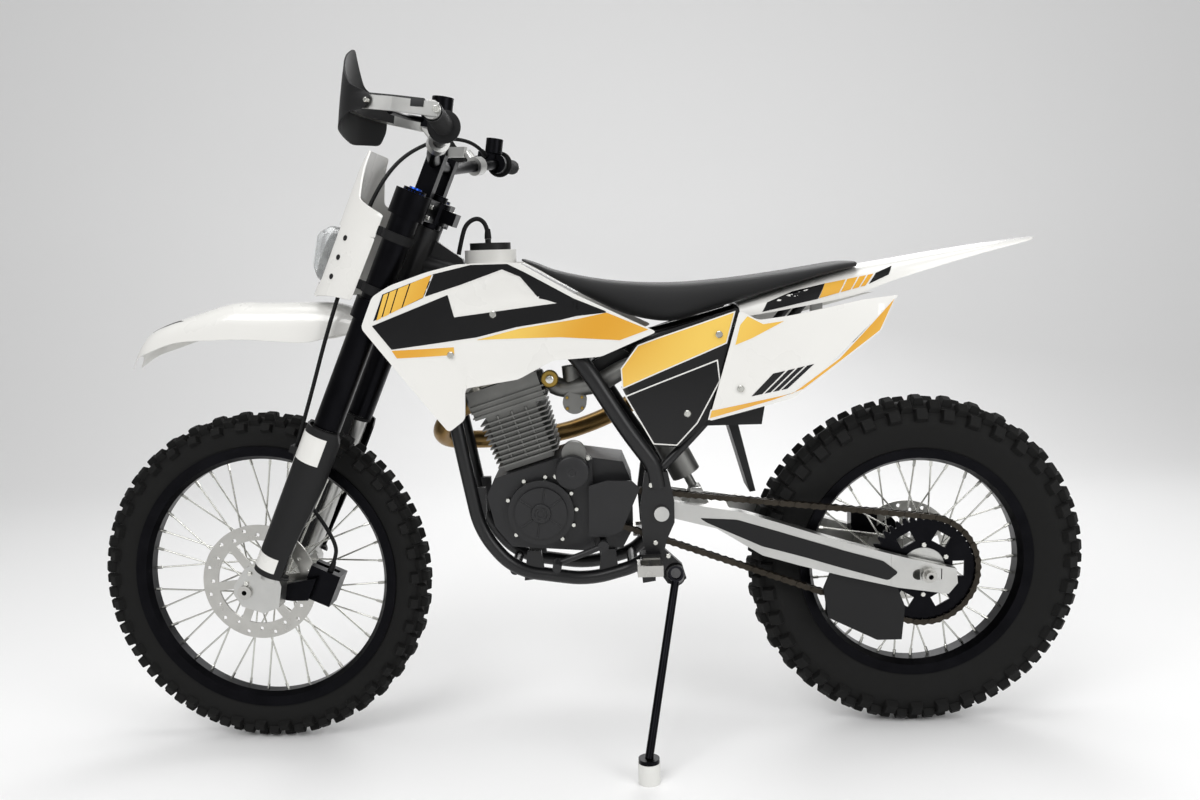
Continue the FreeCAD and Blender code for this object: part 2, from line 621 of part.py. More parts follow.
def chain_guide():
    """Guide under the arm that the lower run of the chain passes through."""
    outer = prism([(190, 10), (60, -22), (40, -72), (46, -142), (96, -142), (196, -92), (206, -30)],
                  84, 89)
    shoe = prism([(196, -66), (196, -92), (96, -142), (46, -142), (46, -118), (92, -118)], 60, 89)
    inner = prism([(190, -34), (196, -92), (96, -142), (46, -142), (46, -110), (90, -78)], 57, 60)
    arm = prism(ARM_SIDE, 40, 130).common(slab(ARM_PLAN, -100, 300))
    grown = prism([(x, z - GAP) for x, z in ARM_SIDE], 40, 130)
    return cut(fuse([outer, shoe, inner]), arm, grown)


def rear_shock():
    """Shock with its coil spring as one closed body, between frame and swingarm."""
    top, foot = Vector(SHOCK_TOP[0], 0, SHOCK_TOP[1]), Vector(SHOCK_FOOT[0], 0, SHOCK_FOOT[1])
    along = (top - foot).normalize()
    length = (top - foot).Length
    eyes = [crosswise(*SHOCK_TOP, 15, -18, 18), crosswise(*SHOCK_FOOT, 14, -18, 18)]
    rod_part = Part.makeCylinder(9, length, foot, along)
    spring = Part.makeCylinder(31, length - 92, foot + along * 42, along)
    shock = fuse(eyes + [rod_part, spring])
    return cut(shock, crosswise(*SHOCK_TOP, 6 + GAP, -40, 40), crosswise(*SHOCK_FOOT, 6 + GAP, -40, 40))


def rear_caliper():
    """Caliper astride the rear disc, on a carrier that hangs from the axle."""
    block = box((62, 118), (-84 + GAP, -50), (44, 92))
    slot = crosswise(0, 0, REAR_DISC_RADIUS + BRAKE_GAP, REAR_DISC_Y - DISC_THICKNESS / 2 - BRAKE_GAP,
                     REAR_DISC_Y + DISC_THICKNESS / 2 + BRAKE_GAP)
    carrier = prism([(-22, -14), (-22, 16), (40, 92), (110, 92), (118, 60), (60, 40), (24, -14)],
                    -84 + GAP, -77)
    return cut(fuse([block.cut(slot), carrier]), crosswise(0, 0, REAR_AXLE_RADIUS + GAP, -100, -40))


def footpegs():
    base = box((538, 572), (113 + GAP, 124), (32, 54))
    teeth = [box((534, 584), (124, 170), (30, 36)), box((534, 540), (124, 170), (30, 52)),
             box((578, 584), (124, 170), (30, 52)), box((556, 562), (124, 170), (30, 52)),
             box((534, 584), (124, 130), (30, 52)), box((534, 584), (164, 170), (30, 52))]
    return both_sides(fuse([base] + teeth))


def foot_pedals():
    """Gear lever on the left, brake pedal on the right."""
    shaft = crosswise(650, 76, 7, GEARBOX_LEFT + GAP, 112)
    lever = pipe([(650.0, 106.0, 76.0), (690.0, 110.0, 62.0), (742.0, 112.0, 44.0)], 6)
    toe = crosswise(742, 44, 9, 104, 146)
    gear = fuse([crosswise(650, 76, 11, 100, 112), shaft, lever, toe])
    arm = pipe([(BRAKE_PIVOT[0], -124.0, BRAKE_PIVOT[1]), (640.0, -122.0, -4.0), (752.0, -116.0, 38.0)], 6)
    pad = box((738, 772), (-134, -98), (36, 46))
    pivot = crosswise(*BRAKE_PIVOT, 12, -130, -PLATE_Y[1] - GAP)
    return Part.makeCompound([gear, fuse([pivot, arm, pad])])


def mud_flap():
    top = AIRBOX_FLOOR - GAP
    return prism([(392, top), (372, top), (336, 166), (348, 164)], -44, 44)


# ---------------------------------------------------------------- wheels
def tyre(radius, width, rim_radius, rim_width):
    """Solid of revolution: a round crown, side walls and the beads inside the rim."""
    crown = width / 2
    seat_radius, bead = rim_radius - 11.0, rim_width / 2 - 3.4
    wall = math.radians(38)
    shoulder = Vector(0, bead, rim_radius + 1.0)
    side = Vector(0, crown, radius - crown)
    centre_z = radius - crown
    mid = Vector(0, crown * math.cos(wall), centre_z + crown * math.sin(wall))
    top = Vector(0, 0, radius)
    low_mid = Vector(0, (bead + crown) / 2 + 6, (shoulder.z + side.z) / 2)

    def flip(v):
        return Vector(0, -v.y, v.z)

    edges = [Part.LineSegment(Vector(0, bead, seat_radius), shoulder).toShape(),
             Part.Arc(shoulder, low_mid, side).toShape(),
             Part.Arc(side, mid, top).toShape(),
             Part.Arc(top, flip(mid), flip(side)).toShape(),
             Part.Arc(flip(side), flip(low_mid), flip(shoulder)).toShape(),
             Part.LineSegment(flip(shoulder), Vector(0, -bead, seat_radius)).toShape(),
             Part.LineSegment(Vector(0, -bead, seat_radius), Vector(0, bead, seat_radius)).toShape()]
    face = Part.Face(Part.Wire(edges))
    return face.revolve(Vector(0, 0, 0), Vector(0, 1, 0), 360)


def rim(rim_radius, rim_width):
    half = rim_width / 2
    inner = rim_radius - RIM_DEPTH
    outline = [(inner, half * 0.45), (inner + 8, half - 3), (rim_radius, half),
               (rim_radius, half - 2.6), (rim_radius - 11.4, half - 3), (inner + 12, half * 0.45),
               (inner + 9, 0)]
    mirror = [(r, -y) for r, y in reversed(outline[:-1])]
    return revolved(outline + mirror)


def spokes(rim_radius, flange_radius, flange_y):
    """Crossed spokes in four sets, each set at its own slant so that none touch."""
    inner = rim_radius - RIM_DEPTH - GAP
    per_set = SPOKE_COUNT // 4
    bars = []
    for index in range(4):
        side = 1 if index < 2 else -1
        lean = 1 if index % 2 == 0 else -1
        y_hub = side * (flange_y + (4.0 if lean > 0 else -4.0))
        y_rim = side * 5.0
        for k in range(per_set):
            rim_angle = 2 * math.pi * (k * 4 + index) / SPOKE_COUNT
            hub_angle = rim_angle + lean * math.radians(52)
            foot = Vector(flange_radius * math.sin(hub_angle), y_hub, flange_radius * math.cos(hub_angle))
            tip = Vector(inner * math.sin(rim_angle), y_rim, inner * math.cos(rim_angle))
            bars.append(rod(tuple(foot), tuple(tip), SPOKE_RADIUS))
    return bars


def hub(barrel, flange_radius, flange_y, left_end, right_end, axle_radius):
    body = fuse([crosswise(0, 0, barrel, -flange_y, flange_y),
                 crosswise(0, 0, flange_radius - 1.5, flange_y - 8.5, flange_y + 8.5),
                 crosswise(0, 0, flange_radius - 1.5, -flange_y - 8.5, -flange_y + 8.5),
                 crosswise(0, 0, barrel, right_end, left_end)])
    return cut(body, crosswise(0, 0, axle_radius + RUNNING_GAP, -200, 200))


def disc(radius, y, inner, seat_radius, bore, axle_radius):
    """Brake disc: a drilled ring on six arms, bolted to the end of the hub."""
    low, high = y - DISC_THICKNESS / 2, y + DISC_THICKNESS / 2
    band = ring(0, 0, radius, inner, low, high)
    middle = crosswise(0, 0, seat_radius, low, high)
    arms = []
    for k in range(6):
        arm = box((-9, 9), (low, high), (bore, inner + 6))
        arm.rotate(Vector(), Vector(0, 1, 0), 60 * k)
        arms.append(arm)
    holes = []
    for k in range(24):
        angle = math.radians(15 * k + 7.5)
        r = inner + (radius - inner) * (0.35 if k % 2 else 0.68)
        holes.append(crosswise(r * math.sin(angle), r * math.cos(angle), 4, low - 1, high + 1))
    return cut(fuse([band, middle] + arms), crosswise(0, 0, bore, low - 1, high + 1), *holes)


def sprocket():
    radius = REAR_PITCH_RADIUS - CHAIN_DEPTH / 2 - 1.0
    low, high = CHAIN_Y - 2.5, CHAIN_Y + 2.5
    plate = ring(0, 0, radius, 46, low, high)
    windows = []
    for k in range(6):
        window = box((-16, 16), (low - 1, high + 1), (60, 84))
        window.rotate(Vector(), Vector(0, 1, 0), 60 * k + 30)
        windows.append(window)
    return cut(plate, *windows)


# ---------------------------------------------------------------- fork, in steering measures
TUBE_AT = (CLAMP_OFFSET, FORK_HALF_SPACING)


def upright(x, y, radius, low, high):
    return Part.makeCylinder(radius, high - low, Vector(x, y, low))


def fork_tool(grow, low=0.0, high=FORK_TOP + 20):
    return [upright(TUBE_AT[0], side * TUBE_AT[1], FORK_TUBE_RADIUS + grow, low, high)
            for side in (1, -1)]


def fork_outer_tubes():
    tube = fuse([upright(*TUBE_AT, FORK_TUBE_RADIUS, FORK_SPLIT + GAP, FORK_TOP),
                 upright(*TUBE_AT, FORK_TUBE_RADIUS - 5, FORK_TOP, FORK_TOP + 6)])
    return both_sides(tube)


LUG = [(74, 44), (66, 54), (4, 54), (-8, 40), (-18, -2), (6, -26), (52, -30), (76, -14), (82, 4)]


def fork_legs():
    """Slider tube and the cast lug that carries the axle ahead of it."""
    slider = upright(*TUBE_AT, FORK_SLIDER_RADIUS, 40, FORK_SPLIT)
    lug = prism(LUG, 91, 124)
    axle_hole = crosswise(AXLE_AHEAD, 0, FRONT_AXLE_RADIUS + GAP, 80, 140)
    return both_sides(cut(fuse([slider, lug]), axle_hole))


def fork_guards():
    """Plastic guard round the front and outside of each slider, down to the lug."""
    shell = upright(*TUBE_AT, 38, 54 + GAP, 371).cut(upright(*TUBE_AT, 34, 50, 380))
    window = [(-21, 54), (64, 54), (64, 371), (-9, 371), (-21, 332), (-4, 107), (-4, 60)]
    shell = shell.common(prism(window, 60, 150))
    inner_rear = box((-40, TUBE_AT[0]), (40, TUBE_AT[1] + 4), (0, 400))
    foot = upright(*TUBE_AT, 34, 54 + GAP, 62).cut(upright(*TUBE_AT, FORK_SLIDER_RADIUS + GAP, 50, 70))
    foot = foot.cut(inner_rear)
    guard = fuse([shell.cut(inner_rear), foot])
    clip = box((56, 76), (90, 112), (298, 312)).cut(upright(*TUBE_AT, 36, 290, 320))
    clip = cut(clip, pipe(BRAKE_HOSE, BRAKE_HOSE_RADIUS + GAP))
    return Part.makeCompound([fuse([guard, clip]), mirrored(guard)])


def clamp(low, high, middle_low, middle_high, ring_radius):
    web = box((-14, 42), (-TUBE_AT[1], TUBE_AT[1]), (middle_low, middle_high))
    rings = [upright(TUBE_AT[0], side * TUBE_AT[1], ring_radius, low, high) for side in (1, -1)]
    boss = upright(0, 0, 30, middle_low, middle_high)
    return fuse([web, boss] + rings)


def lower_clamp():
    """Lower clamp with the steering stem, its lock ring and its top nut."""
    low, high = LOWER_CLAMP
    body = clamp(low, high, low, high, 34)
    stop = box((-44, -14), (-14, 14), (low + 6, high - 6))
    body = cut(fuse([body, stop]), *fork_tool(GAP))
    stem = upright(0, 0, STEM_RADIUS, low, UPPER_CLAMP[1] + 8)
    lock = upright(0, 0, 24, HEAD_HIGH + 2, UPPER_CLAMP[0] + 6 - GAP)
    nut = upright(0, 0, 18, UPPER_CLAMP[1] + GAP, UPPER_CLAMP[1] + 12)
    return fuse([body, stem, lock, nut])


def upper_clamp():
    low, high = UPPER_CLAMP
    body = clamp(low, high, low + 6, high, 35)
    back = box((-50, -10), (-22, 22), (low + 14, high - 10))
    return cut(fuse([body, back]), *fork_tool(GAP), upright(0, 0, STEM_RADIUS + GAP, low - 5, high + 5))


def front_axle():
    """Hollow axle through both lugs, with the collars beside the hub."""
    shaft = crosswise(AXLE_AHEAD, 0, FRONT_AXLE_RADIUS, -122, 124)
    collars = [crosswise(AXLE_AHEAD, 0, 14, 58, 91 - GAP), crosswise(AXLE_AHEAD, 0, 14, -91 + GAP, -44),
               crosswise(AXLE_AHEAD, 0, 14, 124, 130), crosswise(AXLE_AHEAD, 0, 13, -132, -124 - GAP)]
    return cut(fuse([shaft] + collars + [crosswise(AXLE_AHEAD, 0, FRONT_AXLE_RADIUS, -132, -110)]),
               crosswise(AXLE_AHEAD, 0, AXLE_BORE_RADIUS, -140, 140))


FENDER_TOP = [(467, 302), (452, 392), (380, 461), (309, 517), (193, 566), (127, 592), (60, 600 - GAP),
              (-24, 600 - GAP)]
FENDER_UNDER = [(-20, 566), (60, 552), (83, 523), (166, 493), (286, 451), (362, 412),
                (433, 356)]
FENDER_INNER = [(455, 318), (446, 386), (376, 456), (306, 512), (191, 561), (127, 587),
                (60, 594), (-30, 594), (-30, 480), (440, 300)]


def front_fender():
    plan = symmetric([(-90, 40), (-40, 60), (60, 66), (100, 74), (300, 74), (420, 62), (455, 42), (468, 16)])
    inner_plan = symmetric([(-94, 36), (-40, 56), (60, 62), (100, 70), (300, 70), (418, 58), (450, 38),
                            (462, 12)])
    shell = hollowed(FENDER_TOP + FENDER_UNDER, FENDER_INNER, plan, inner_plan, 200, 700)
    return shell


MASK_PLAN = [(64, -114), (103, -99), (146, -66), (160, -30), (162, 0), (160, 30), (146, 66),
             (103, 99), (64, 114)]


def headlight_mask():
    """White shield in front of the fork, wrapped back to the tubes at its sides."""
    sheet = ribbon(MASK_PLAN[::-1], PANEL_THICKNESS, 590, 910)
    front = front_prism([(-62, 596), (-116, 622), (-116, 802), (-84, 812), (-62, 905), (62, 905),
                         (84, 812), (116, 802), (116, 622), (62, 596)], 0, 200)
    opening = headlight_block(GAP)
    return cut(sheet.common(front), opening)


def headlight_block(grow):
    side = [(132 - grow, 628 - grow), (132 - grow, 742 + grow), (168 + grow, 742 + grow),
            (190 + grow, 716 + grow), (176 + grow, 650 - grow), (158 + grow, 628 - grow)]
    return prism(side, -62 - grow, 62 + grow)


def headlight_lens():
    return headlight_block(0.0)


def mask_straps():
    """Four rubber straps that hold the shield to the fork tubes."""
    straps = []
    for level in (660.0, 770.0):
        band = upright(*TUBE_AT, FORK_TUBE_RADIUS + 4, level - 9, level + 9)
        tab = box((46, 62.2 - GAP), (104, 115), (level - 9, level + 9))
        straps.append(cut(fuse([band, tab]), fork_tool(GAP)[0]))
    return Part.makeCompound(straps + [mirrored(s) for s in straps])


# ---------------------------------------------------------------- handlebar and controls
BAR_CENTRE = (18.0, 930.0)
BAR_END = (-39.0, BAR_HALF_WIDTH, 997.0)
BAR_HALF = [(BAR_CENTRE[0], 70.0, BAR_CENTRE[1]), (8.0, 140.0, 946.0), (-32.0, 250.0, 985.0), BAR_END]
BAR = [(x, -y, z) for x, y, z in reversed(BAR_HALF)] + BAR_HALF


def bar_tool(grow):
    return pipe(BAR, BAR_RADIUS + grow)


def handlebar():
    return bar_tool(0.0)


def bar_risers():
    """Two clamps that stand on the upper clamp and hold the bar."""
    riser = box((2, 36), (36, 64), (FORK_TOP + GAP, BAR_CENTRE[1] + 20))
    return both_sides(cut(riser, bar_tool(GAP)))


def bar_axis():
    start, end = vector(BAR_HALF[2]), vector(BAR_END)
    return start, (end - start).normalize()


def grips():
    start, along = bar_axis()
    tube = Part.makeCylinder(GRIP_RADIUS, 124, start + along * 34, along)
    flange = Part.makeCylinder(29, 5, start + along * 30, along)
    return both_sides(cut(fuse([tube, flange]), bar_tool(GAP)))


GUARD_PLACE = Placement(vector(BAR_END), Rotation(Vector(0, 1, 0), 15))
GUARD_PLAN = [(-12, 10), (60, 16), (122, 4), (148, -30), (142, -96), (112, -166), (66, -214)]


def hand_guard_bars():
    """Alloy bar from the end of each grip forward and back in to a clamp on the bar."""
    strip = ribbon(GUARD_PLAN[::-1], 7.0, -10, 12)
    strip = placed(strip, GUARD_PLACE)
    start = vector(BAR_HALF[1])
    along = (vector(BAR_HALF[2]) - start).normalize()
    ring_low = start + along * 38
    band = Part.makeCylinder(20, 22, ring_low, along)
    centre = ring_low + along * 11
    inner_end = GUARD_PLACE.multVec(Vector(64, -212, 1))
    arm = rod(tuple(centre), tuple(inner_end), 9)
    tip = GUARD_PLACE.multVec(Vector(0, 9, 0))
    end_start, end_along = bar_axis()
    cap = Part.makeCylinder(15, 8, vector(BAR_END) + end_along * 4.5, end_along)
    grip_room = Part.makeCylinder(GRIP_RADIUS + GAP, 130, end_start + end_along * 30, end_along)
    return both_sides(cut(fuse([strip, band, arm, cap]), bar_tool(GAP), grip_room))


SHIELD_PLAN = [(96, 22), (134, 12), (160, -26), (154, -100), (124, -172)]


def hand_shields():
    sheet = ribbon(SHIELD_PLAN[::-1], 3.0, -80, 120)
    outline = front_prism([(-176, -24), (-160, -52), (-90, -62), (-20, -44), (22, -14), (26, 16),
                           (-30, 78), (-64, 96), (-110, 40), (-170, 24)], 60, 200)
    shape = sheet.common(outline)
    post = placed(rod((142, -60, 0), (157.5, -60, 0), 5), GUARD_PLACE)
    bar = placed(ribbon(GUARD_PLAN[::-1], 7.0, -10, 12), GUARD_PLACE)
    return both_sides(cut(fuse([placed(shape, GUARD_PLACE), post]), bar))


def control_levers():
    """Lever, perch and reservoir on each side, clear of the guard."""
    start, along = bar_axis()
    seat = Part.makeCylinder(21, 24, start - along * 2 + along * 2, along)
    perch = placed(box((14, 52), (-160, -134), (-10, 12)), GUARD_PLACE)
    lever = placed(pipe([(44.0, -146.0, 2.0), (70.0, -110.0, 0.0), (72.0, -14.0, -6.0)], 5), GUARD_PLACE)
    tank = placed(rod((20, -146, 12), (20, -146, 44), 19), GUARD_PLACE)
    shape = cut(fuse([seat, perch, lever, tank]), bar_tool(GAP))
    return both_sides(shape)


def front_caliper():
    """Caliper behind the left leg, astride the disc, bolted to the lug."""
    block = box((-102, -38), (28, 76), (18, 86))
    slot = box((-140, -20), (FRONT_DISC_Y - DISC_THICKNESS / 2 - BRAKE_GAP,
                             FRONT_DISC_Y + DISC_THICKNESS / 2 + BRAKE_GAP), (0, 110))
    wheel_room = crosswise(AXLE_AHEAD, 0, FRONT_DISC_RADIUS + BRAKE_GAP, 20, 62)
    far_side = box((-102, -92), (28, 76), (18, 86))
    block = fuse([cut(block, slot.common(wheel_room.fuse(wheel_room))), far_side])
    bracket = prism([(-60, 20), (-60, 70), (-20, 44), (-2, 30), (-6, 0), (-30, 6)], 76, 91 - GAP)
    return cut(fuse([block, bracket]), cut(slot, box((-200, -92), (0, 100), (0, 200))))


BRAKE_HOSE = [(-4.0, -243.0, 992.0), (12.0, -196.0, 1008.0), (66.0, -140.0, 992.0),
              (100.0, -80.0, 946.0), (110.0, -12.0, 900.0), (108.0, 52.0, 838.0),
              (105.0, 76.0, 760.0), (101.0, 82.0, 680.0), (96.0, 87.0, 600.0), (89.0, 92.0, 520.0),
              (79.0, 97.0, 440.0), (71.0, 102.0, 365.0), (67.0, 94.0, 290.0), (58.0, 64.0, 236.0),
              (14.0, 56.0, 196.0), (-34.0, 60.0, 168.0), (-70.0, 62.0, 138.0), (-76.0, 62.0, 112.0),
              (-76.0, 62.0, 86.0 + GAP)]
BRAKE_HOSE_RADIUS = 4.0


def brake_hose():
    return pipe(BRAKE_HOSE, BRAKE_HOSE_RADIUS)


# ---------------------------------------------------------------- side stand
STAND_RADIUS = 8.0
FOOT_RADIUS = 21.0
FOOT_HEIGHT = 40.0


def stand_leg(foot_top):
    """Leg from the bolt down to the plate that sits in the foot."""
    eye = Part.makeCylinder(16, 17, STAND_PIVOT + STAND_AXIS * 0.5, STAND_AXIS)
    start = STAND_PIVOT + STAND_AXIS * 9
    leg = rod(tuple(start), tuple(foot_top), STAND_RADIUS)
    hole = Part.makeCylinder(6 + RUNNING_GAP, 60, STAND_PIVOT - STAND_AXIS * 20, STAND_AXIS)
    return cut(fuse([eye, leg]), hole)


# ---------------------------------------------------------------- setting on the ground
def lowest_of_wheel(place, centre, radius, width):
    """Height of the lowest point of a round-crowned tyre, after a placement."""
    crown = width / 2
    middle = place.multVec(centre)
    axis = place.Rotation.multVec(Vector(0, 1, 0))
    return middle.z - (radius - crown) * math.sqrt(1 - axis.z ** 2) - crown


def steered_place():
    return FORK_PLACE.multiply(STEER_TURN)


def parked_place():
    """Lean and pitch that put both tyres on the ground."""
    pitch, lift = 0.0, REAR_TYRE_RADIUS
    steer = steered_place()
    for _ in range(12):
        turn = Rotation(Vector(0, 1, 0), pitch).multiply(Rotation(Vector(1, 0, 0), -LEAN_ANGLE))
        place = Placement(Vector(0, 0, lift), turn)
        rear = lowest_of_wheel(place, Vector(), REAR_TYRE_RADIUS, REAR_TYRE_WIDTH)
        front = lowest_of_wheel(place.multiply(steer), Vector(AXLE_AHEAD, 0, 0),
                                FRONT_TYRE_RADIUS, FRONT_TYRE_WIDTH)
        pitch += math.degrees((front - rear) / WHEELBASE)
        lift -= rear
    return place


def front_wheel_place():
    return steered_place().multiply(Placement(Vector(AXLE_AHEAD, 0, 0), Rotation()))


def build():
    """Every piece in its own upright drawing frame, by body."""
    front_spokes = spokes(FRONT_RIM_RADIUS, 33, 26)
    rear_spokes = spokes(REAR_RIM_RADIUS, 42, 30)
    front = {
        "front_tyre": tyre(FRONT_TYRE_RADIUS, FRONT_TYRE_WIDTH, FRONT_RIM_RADIUS, FRONT_RIM_WIDTH),
        "front_rim": rim(FRONT_RIM_RADIUS, FRONT_RIM_WIDTH),
        "front_spokes": Part.makeCompound(front_spokes),
        "front_hub": cut(hub(22, 33, 26, 48 - GAP, -43, FRONT_AXLE_RADIUS), *front_spokes),
        "front_disc": disc(FRONT_DISC_RADIUS, FRONT_DISC_Y, 88, 34, 15, FRONT_AXLE_RADIUS),
    }
    rear = {
        "rear_tyre": tyre(REAR_TYRE_RADIUS, REAR_TYRE_WIDTH, REAR_RIM_RADIUS, REAR_RIM_WIDTH),
        "rear_rim": rim(REAR_RIM_RADIUS, REAR_RIM_WIDTH),
        "rear_spokes": Part.makeCompound(rear_spokes),
        "rear_hub": cut(fuse([hub(26, 42, 30, 74, -75, REAR_AXLE_RADIUS),
                              cut(crosswise(0, 0, 52, 42, 68 - GAP),
                                  crosswise(0, 0, REAR_AXLE_RADIUS + RUNNING_GAP, 30, 80)),
                              cut(crosswise(0, 0, 45, 67, 72),
                                  crosswise(0, 0, REAR_AXLE_RADIUS + RUNNING_GAP, 30, 80)),
                              cut(crosswise(0, 0, 40, -64 + GAP, -40),
                                  crosswise(0, 0, REAR_AXLE_RADIUS + RUNNING_GAP, -80, -30))]),
                        *rear_spokes),
        "rear_sprocket": sprocket(),
        "rear_disc": disc(REAR_DISC_RADIUS, REAR_DISC_Y, 80, 38, 26 + GAP, REAR_AXLE_RADIUS),
    }
    steering = {
        "fork_outer_tubes": fork_outer_tubes(), "fork_legs": fork_legs(),
        "fork_guards": fork_guards(), "lower_clamp": lower_clamp(), "upper_clamp": upper_clamp(),
        "front_axle": front_axle(), "front_fender": front_fender(),
        "headlight_mask": headlight_mask(), "headlight_lens": headlight_lens(),
        "mask_straps": mask_straps(), "handlebar": handlebar(), "bar_risers": bar_risers(),
        "grips": grips(), "hand_guard_bars": hand_guard_bars(), "hand_shields": hand_shields(),
        "control_levers": control_levers(), "front_caliper": front_caliper(),
        "brake_hose": brake_hose(),
    }
    chassis = {
        "main_frame": main_frame(), "subframe": subframe(), "crankcase": crankcase(),
        "cylinder": cylinder(), "cylinder_head": cylinder_head(), "engine_covers": engine_covers(),
        "carburettor": carburettor(),
        "exhaust_header": exhaust_header(), "muffler": muffler(), "fuel_tank": fuel_tank(),
        "fuel_cap": fuel_cap(), "breather_hose": pipe(BREATHER, BREATHER_RADIUS),
        "tank_shrouds": tank_shrouds(), "side_panels": side_panels(),
        "number_panels": number_panels(), "seat": seat(), "rear_fender": rear_fender(),
        "airbox": airbox(), "swingarm": swingarm(),
        "rear_axle": rear_axle(), "chain": chain(), "front_sprocket": front_sprocket(),
        "chain_guide": chain_guide(), "rear_shock": rear_shock(), "rear_caliper": rear_caliper(),
        "footpegs": footpegs(), "foot_pedals": foot_pedals(), "mud_flap": mud_flap(),
    }
    return chassis, steering, front, rear


def main():
    chassis, steering, front, rear = build()
    park = parked_place()
    steer = park.multiply(steered_place())
    pieces = {}
    for group, place in ((chassis, park), (rear, park), (steering, steer),
                         (front, park.multiply(front_wheel_place()))):
        for name, piece in group.items():
            pieces[name] = placed(piece, place)

    # The stand reaches the ground on a flat foot, so its foot is drawn with the machine parked.
    pivot = park.multVec(STAND_PIVOT + STAND_AXIS * 9)
    reach = park.Rotation.multVec(STAND_DOWN)
    foot_centre = pivot + reach * ((pivot.z - FOOT_HEIGHT) / -reach.z)
    leg_end = park.inverse().multVec(Vector(foot_centre.x, foot_centre.y, FOOT_HEIGHT + 6))
    leg = placed(stand_leg(leg_end), park)
    plate = Part.makeCylinder(FOOT_RADIUS - 1, 8, Vector(foot_centre.x, foot_centre.y, FOOT_HEIGHT))
    pieces["stand_leg"] = fuse([cut(leg, box((0, 1000), (0, 600), (-50, FOOT_HEIGHT))), plate])
    pieces["stand_foot"] = Part.makeCylinder(FOOT_RADIUS, FOOT_HEIGHT - GAP,
                                             Vector(foot_centre.x, foot_centre.y, 0))

    bounds = FreeCAD.BoundBox()
    for piece in pieces.values():
        for corner in piece.tessellate(0.05)[0]:
            bounds.add(corner)
    shift = Vector(-(bounds.XMin + bounds.XMax) / 2, -(bounds.YMin + bounds.YMax) / 2, -bounds.ZMin)
    home = Placement(shift, Rotation())
    os.makedirs("parts", exist_ok=True)
    for name, piece in pieces.items():
        moved = placed(piece, home)
        moved.exportStep("parts/" + name + ".step")
        print("%-18s solids %2d  volume %9.1f cm3  valid %s"
              % (name, len(moved.Solids), moved.Volume / 1000, moved.isValid()))
    print("size %.1f x %.1f x %.1f mm, %d nodes"
          % (bounds.XLength, bounds.YLength, bounds.ZLength, len(pieces)))

    def report(label, place, point, axis):
        at = home.multiply(place).multVec(point)
        way = home.multiply(place).Rotation.multVec(axis)
        print("%s at (%.3f, %.3f, %.3f) mm along (%.6f, %.6f, %.6f)" % (label, *at, *way))

    sideways = Vector(0, 1, 0)
    report("steering", steer, Vector(0, 0, 720), Vector(0, 0, 1))
    report("front wheel", steer, Vector(AXLE_AHEAD, 0, 0), sideways)
    report("rear wheel", park, Vector(), sideways)
    report("stand", park, STAND_PIVOT, STAND_AXIS)


main()
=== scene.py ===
# %% [markdown]
# # Enduro motorcycle on its side stand
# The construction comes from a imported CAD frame. This lesson dresses it: every surface gets the finish
# of its real material, and the tyres, bodywork, seat, chain and hoses are modelled as finer pieces that
# stand for the plain CAD solids. Everything is in metres, in the frame's own axes.

# %% Load the frame
import bpy
import bmesh
import json
import math
from mathutils import Matrix, Vector


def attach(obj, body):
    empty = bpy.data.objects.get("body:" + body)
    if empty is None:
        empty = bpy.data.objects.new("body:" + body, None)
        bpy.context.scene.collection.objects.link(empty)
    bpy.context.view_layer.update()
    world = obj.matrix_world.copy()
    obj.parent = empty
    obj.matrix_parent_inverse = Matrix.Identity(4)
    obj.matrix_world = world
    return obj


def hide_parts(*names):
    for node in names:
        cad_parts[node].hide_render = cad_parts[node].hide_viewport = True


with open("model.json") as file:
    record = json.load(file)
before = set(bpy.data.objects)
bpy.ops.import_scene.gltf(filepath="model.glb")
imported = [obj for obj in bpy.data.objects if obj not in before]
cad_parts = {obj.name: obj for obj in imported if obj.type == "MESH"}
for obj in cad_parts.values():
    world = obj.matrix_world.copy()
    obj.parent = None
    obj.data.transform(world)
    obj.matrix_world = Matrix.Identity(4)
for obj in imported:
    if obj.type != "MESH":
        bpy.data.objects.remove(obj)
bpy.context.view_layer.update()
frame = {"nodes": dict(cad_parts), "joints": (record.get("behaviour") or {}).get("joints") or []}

# %% [markdown]
# The machine leans on its stand and its bars are turned, so its pieces are drawn upright in millimetres
# and set in place by a matrix. The joints' own places and axes give these matrices, so a piece drawn
# here lands exactly on the CAD piece that it belongs to.

# %% Places of the chassis, the fork and the wheels
JOINTS = {joint["name"]: joint for joint in frame["joints"]}


def place_from(origin, ahead, left, up):
    """Matrix from millimetres along three directions to the frame's metres."""
    turn = Matrix((ahead, left, up)).transposed().to_4x4()
    return Matrix.Translation(origin) @ turn @ Matrix.Scale(0.001, 4)


rear_hub_at = Vector(JOINTS["rear_wheel_spin"]["pos_m"])
chassis_left = Vector(JOINTS["rear_wheel_spin"]["axis"]).normalized()
chassis_ahead = Vector((-chassis_left.z, 0, chassis_left.x)).normalized()
chassis_up = chassis_ahead.cross(chassis_left)
CHASSIS = place_from(rear_hub_at, chassis_ahead, chassis_left, chassis_up)

STEM_LEVEL = 0.720
fork_up = Vector(JOINTS["steering_turn"]["axis"]).normalized()
fork_left = Vector(JOINTS["front_wheel_spin"]["axis"]).normalized()
fork_ahead = fork_left.cross(fork_up)
fork_foot = Vector(JOINTS["steering_turn"]["pos_m"]) - fork_up * STEM_LEVEL
FORK = place_from(fork_foot, fork_ahead, fork_left, fork_up)
FRONT_WHEEL = place_from(Vector(JOINTS["front_wheel_spin"]["pos_m"]), fork_ahead, fork_left, fork_up)
REAR_WHEEL = CHASSIS
print("rear hub", rear_hub_at, "front hub", FRONT_WHEEL.translation)

